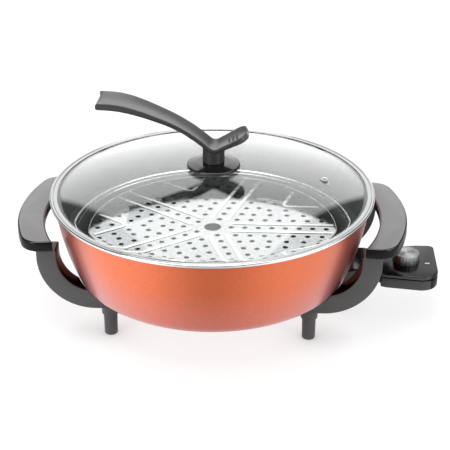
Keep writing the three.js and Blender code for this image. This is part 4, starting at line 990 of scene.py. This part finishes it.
def spunSheenShare(drift, add, calc, ranged):
    # painted sheen: the tone swings twice round the knob's axis, as light does on spun silver
    fromKnob = add("VectorMath", {0: add("TexCoord").outputs["Object"], 1: tuple(-middle)}, operation="ADD")
    flat = add("SeparateXYZ", {0: fromKnob}).outputs
    swing = calc("COSINE", calc("MULTIPLY_ADD", calc("ARCTAN2", flat["Y"], flat["X"]), 2.0, 2.4))
    return ranged(calc("ADD", swing, calc("MULTIPLY_ADD", drift, 2.4, -1.2)), -1.2, 1.4)


# printed silver disc whose colour carries the painted sheen of spun metal
silverPrint = surfaced("silverPrint", (0.07, 0.07, 0.072), (0.34, 0.34, 0.345), 0.26, 0.44, 1100.0, 500.0,
                       60.0, 0.00005, 0.5, spunSheenShare, Metallic=1.0)
discLow, discTop = knob["top"] - 0.75, knob["top"] - 0.15
discProfile = rounded([(0, discLow), (knob["disc"], discLow), (knob["disc"], discTop, 0.2), (0, discTop)],
                      steps=3)
knobDisc = turned("knobDisc", discProfile, silverPrint, 96, knobAxis)
finished(knobDisc, "knob_body", ["knob_disc"])
tick = {"start": 10.2, "end": 12.7, "half": 0.42, "height": 0.14, "count": 28, "sweep": 270, "sink": 0.02}
tickTree, given, add, calc, shape, _, end = newTree(
    "dialTicks", Tick="Object", Count="Int", Sweep="Float", Centre="Vector")
swept = calc("MULTIPLY", add("InputIndex"), given["Sweep"])
turnBy = add("ShaderNodeCombineXYZ", {"Z": calc("DIVIDE", swept, calc("SUBTRACT", given["Count"], 1))})
points = add("Points", {"Count": given["Count"]})
ticks = add("InstanceOnPoints", {"Points": points, "Instance": shape("Tick"), "Rotation": turnBy})
end(add("Transform", {"Geometry": ticks, "Translation": given["Centre"]}))
tickPiece = block("tick", tick["start"], tick["end"], -tick["half"], tick["half"], 0, tick["height"])
tickPiece.data.transform(Matrix.Translation(-world(0, 0, 0)))
dialTicks = grown("dialTicks", tickTree, {
    "Tick": tickPiece, "Count": tick["count"], "Sweep": math.radians(tick["sweep"]),
    "Centre": world(*knobAxis, discTop - tick["sink"]), "Material": whitePrint})
removed(tickPiece)
finished(dialTicks, "knob_body", [])
print("control made")

# CAD nodes whose shape is right keep it and get their finish
carried = {
    plainSteel: ["left_mounting_bar", "right_mounting_bar", "lid_handle_screw", "control_probe", "knob_shaft",
                 "control_screw_1", "control_screw_2", "terminal_pin_1", "terminal_pin_2"],
    polishedSteel: ["steam_plate_foot_1", "steam_plate_foot_2", "steam_plate_foot_3"],
    castAluminium: ["heating_element", "probe_well"],
    brassParts: ["contact_socket_1", "contact_socket_2", "contact_arm"],
    softRubber: ["lid_handle_seal", "cord_bushing"],
    ceramicBlock: ["terminal_block"],
}
for paint, names in carried.items():
    for name in names:
        materials = frame["nodes"][name].data.materials
        materials.clear()
        materials.append(paint)

# Floor: bright to the camera but for the object's shadow. In reflections it has two bright pools, one on
# each side of the front, and it brightens again far behind
reach = 12.0
floor = meshObject("floor", [(-reach, -reach, 0), (reach, -reach, 0), (reach, reach, 0), (-reach, reach, 0)],
                   (), [(0, 1, 2, 3)])
floorPaint, shader, output, wire, add, calc, ranged, *_ = newMaterial(
    "floorPaint", Base_Color=(0.3, 0.31, 0.314, 1), Roughness=0.7, Specular_IOR_Level=0.2)
apart = add("SeparateXYZ", {0: add("TexCoord").outputs["Object"]}).outputs
fromAxis = calc("ADD", apart["X"], -panShift * mm)
bearing = calc("ARCTAN2", fromAxis, calc("MULTIPLY", apart["Y"], -1.0))
pools = []
plateau = math.radians(11)
for middleTurn, widthTurn, strength in ((-54, 58, 1.08), (57, 58, 0.78)):
    offMiddle = calc("ABSOLUTE", calc("ADD", bearing, math.radians(-middleTurn)))
    pools.append(ranged(offMiddle, math.radians(widthTurn), plateau, 0.0, strength, "SMOOTHSTEP"))
flatPlace = add("CombineXYZ", {"X": fromAxis, "Y": apart["Y"]})
outwards = ranged(add("VectorMath", {0: flatPlace}, operation="LENGTH").outputs["Value"], 0.15, 0.26)
poolShare = ranged(outwards, 0.0, 1.0, 0.3, 1.0)
nearLevel = ranged(outwards, 0.0, 1.0, 0.6, 0.3)
farLevel = ranged(apart["Y"], 0.3, 0.6, 0.0, 1.2)
inMirrors = calc("MULTIPLY_ADD", calc("ADD", *pools), poolShare, calc("ADD", nearLevel, farLevel))
openness = add("AmbientOcclusion", {"Distance": 0.045}, samples=12).outputs["AO"]
path = add("LightPath").outputs
plain = ranged(openness, 0.5, 0.97, 0.5, 0.79)
strength = add("Mix", {"Factor": path["Is Glossy Ray"], "A": plain, "B": inMirrors}, data_type="FLOAT")
glow = add("Emission", {"Color": (1.0, 1.0, 1.0, 1.0), "Strength": strength})
dark = add("Emission", {"Color": (0, 0, 0, 1), "Strength": 0.0})
seen = calc("MAXIMUM", path["Is Camera Ray"], path["Is Glossy Ray"])
seen = calc("MAXIMUM", seen, path["Is Transmission Ray"])
lift = add("MixShader", {0: seen, 1: dark, 2: glow})
wire(output, {"Surface": add("AddShader", {0: shader, 1: lift})})
floor.data.materials.append(floorPaint)

# World: even light, white behind the object for the camera. Mirrors see a white panel behind, a softer
# strip on each side of the front, a bright ceiling and a small panel high on the right
studio = bpy.data.worlds.new("studio")
bpy.context.scene.world = studio
studio.use_nodes = True
studio.node_tree.nodes.clear()
wire, add, calc, ranged, _ = helpers(studio.node_tree)
apart = add("SeparateXYZ", {0: add("TexCoord").outputs["Generated"]}).outputs
fromAxis = calc("ADD", calc("ARCTAN2", apart["X"], apart["Y"]), math.radians(3.5))
away = calc("ABSOLUTE", fromAxis)
panel = ranged(away, math.radians(24.5), math.radians(23))
panelLevel = ranged(apart["Z"], 0.62, 0.85, 2.0, 2.3)
ceiling = ranged(apart["Z"], 0.88, 0.97, 0.14, 2.4)
offStrip = calc("ABSOLUTE", calc("SUBTRACT", away, math.radians(125)))
around = calc("ADD", ceiling, ranged(offStrip, math.radians(24), math.radians(8), 0.0, 0.7))
mirrorLevel = add("Mix", {"Factor": panel, "A": around, "B": panelLevel}, data_type="FLOAT")
offRight = calc("ABSOLUTE", calc("SUBTRACT", fromAxis, math.radians(87)))
rightPanel = calc("MULTIPLY", ranged(offRight, math.radians(20), math.radians(12)),
                  ranged(apart["Z"], 0.5, 0.6, 0.0, 4.0))
mirrorTotal = calc("ADD", mirrorLevel, rightPanel)
mirrorLight, evenLight, whiteLight = [
    add("Background", {"Color": (1, 1, 1, 1), "Strength": level}) for level in (mirrorTotal, 0.5, 1.0)]
path = add("LightPath").outputs
shiny = calc("MAXIMUM", path["Is Glossy Ray"], path["Is Transmission Ray"])
unseen = add("MixShader", {0: shiny, 1: evenLight, 2: mirrorLight})
add("OutputWorld", {"Surface": add("MixShader", {0: path["Is Camera Ray"], 1: unseen, 2: whiteLight})})

# Lamps: one large softbox overhead, a smaller one on each side of the front
aim = Vector((0, 0, 0.08))
lamps = {"overhead": ((-0.25, -0.2, 1.7), 1.4, 15), "frontLeft": ((-1.3, -1.3, 0.7), 0.8, 9),
         "frontRight": ((1.5, -1.1, 0.7), 0.8, 7)}
for name, (place, size, power) in lamps.items():
    light = bpy.data.lights.new(name, "AREA")
    light.shape = "DISK"
    light.size = size
    light.energy = power
    thing = newObject(name, light)
    thing.location = place
    thing.rotation_euler = (aim - Vector(place)).to_track_quat("-Z", "Y").to_euler()

# Camera: where the photograph was taken from
camera = {"eye": (0.05658, -1.3013, 0.75766), "right": (0.998893, 0.047038, 0.00026),
          "up": (-0.021368, 0.448837, 0.893358), "forward": (-0.041905, 0.892375, -0.449345), "lens": 103.43}
cameraData = bpy.data.cameras.new("camera")
cameraData.lens = camera["lens"]
cameraData.sensor_width = 36
cameraData.clip_end = 100
cameraObject = newObject("camera", cameraData)
columns = [Vector(camera["right"]), Vector(camera["up"]), -Vector(camera["forward"]), Vector(camera["eye"])]
cameraObject.matrix_world = Matrix([[c[i] for c in columns] for i in range(3)] + [[0, 0, 0, 1]])
bpy.context.scene.camera = cameraObject
bpy.context.scene.view_settings.view_transform = "Standard"
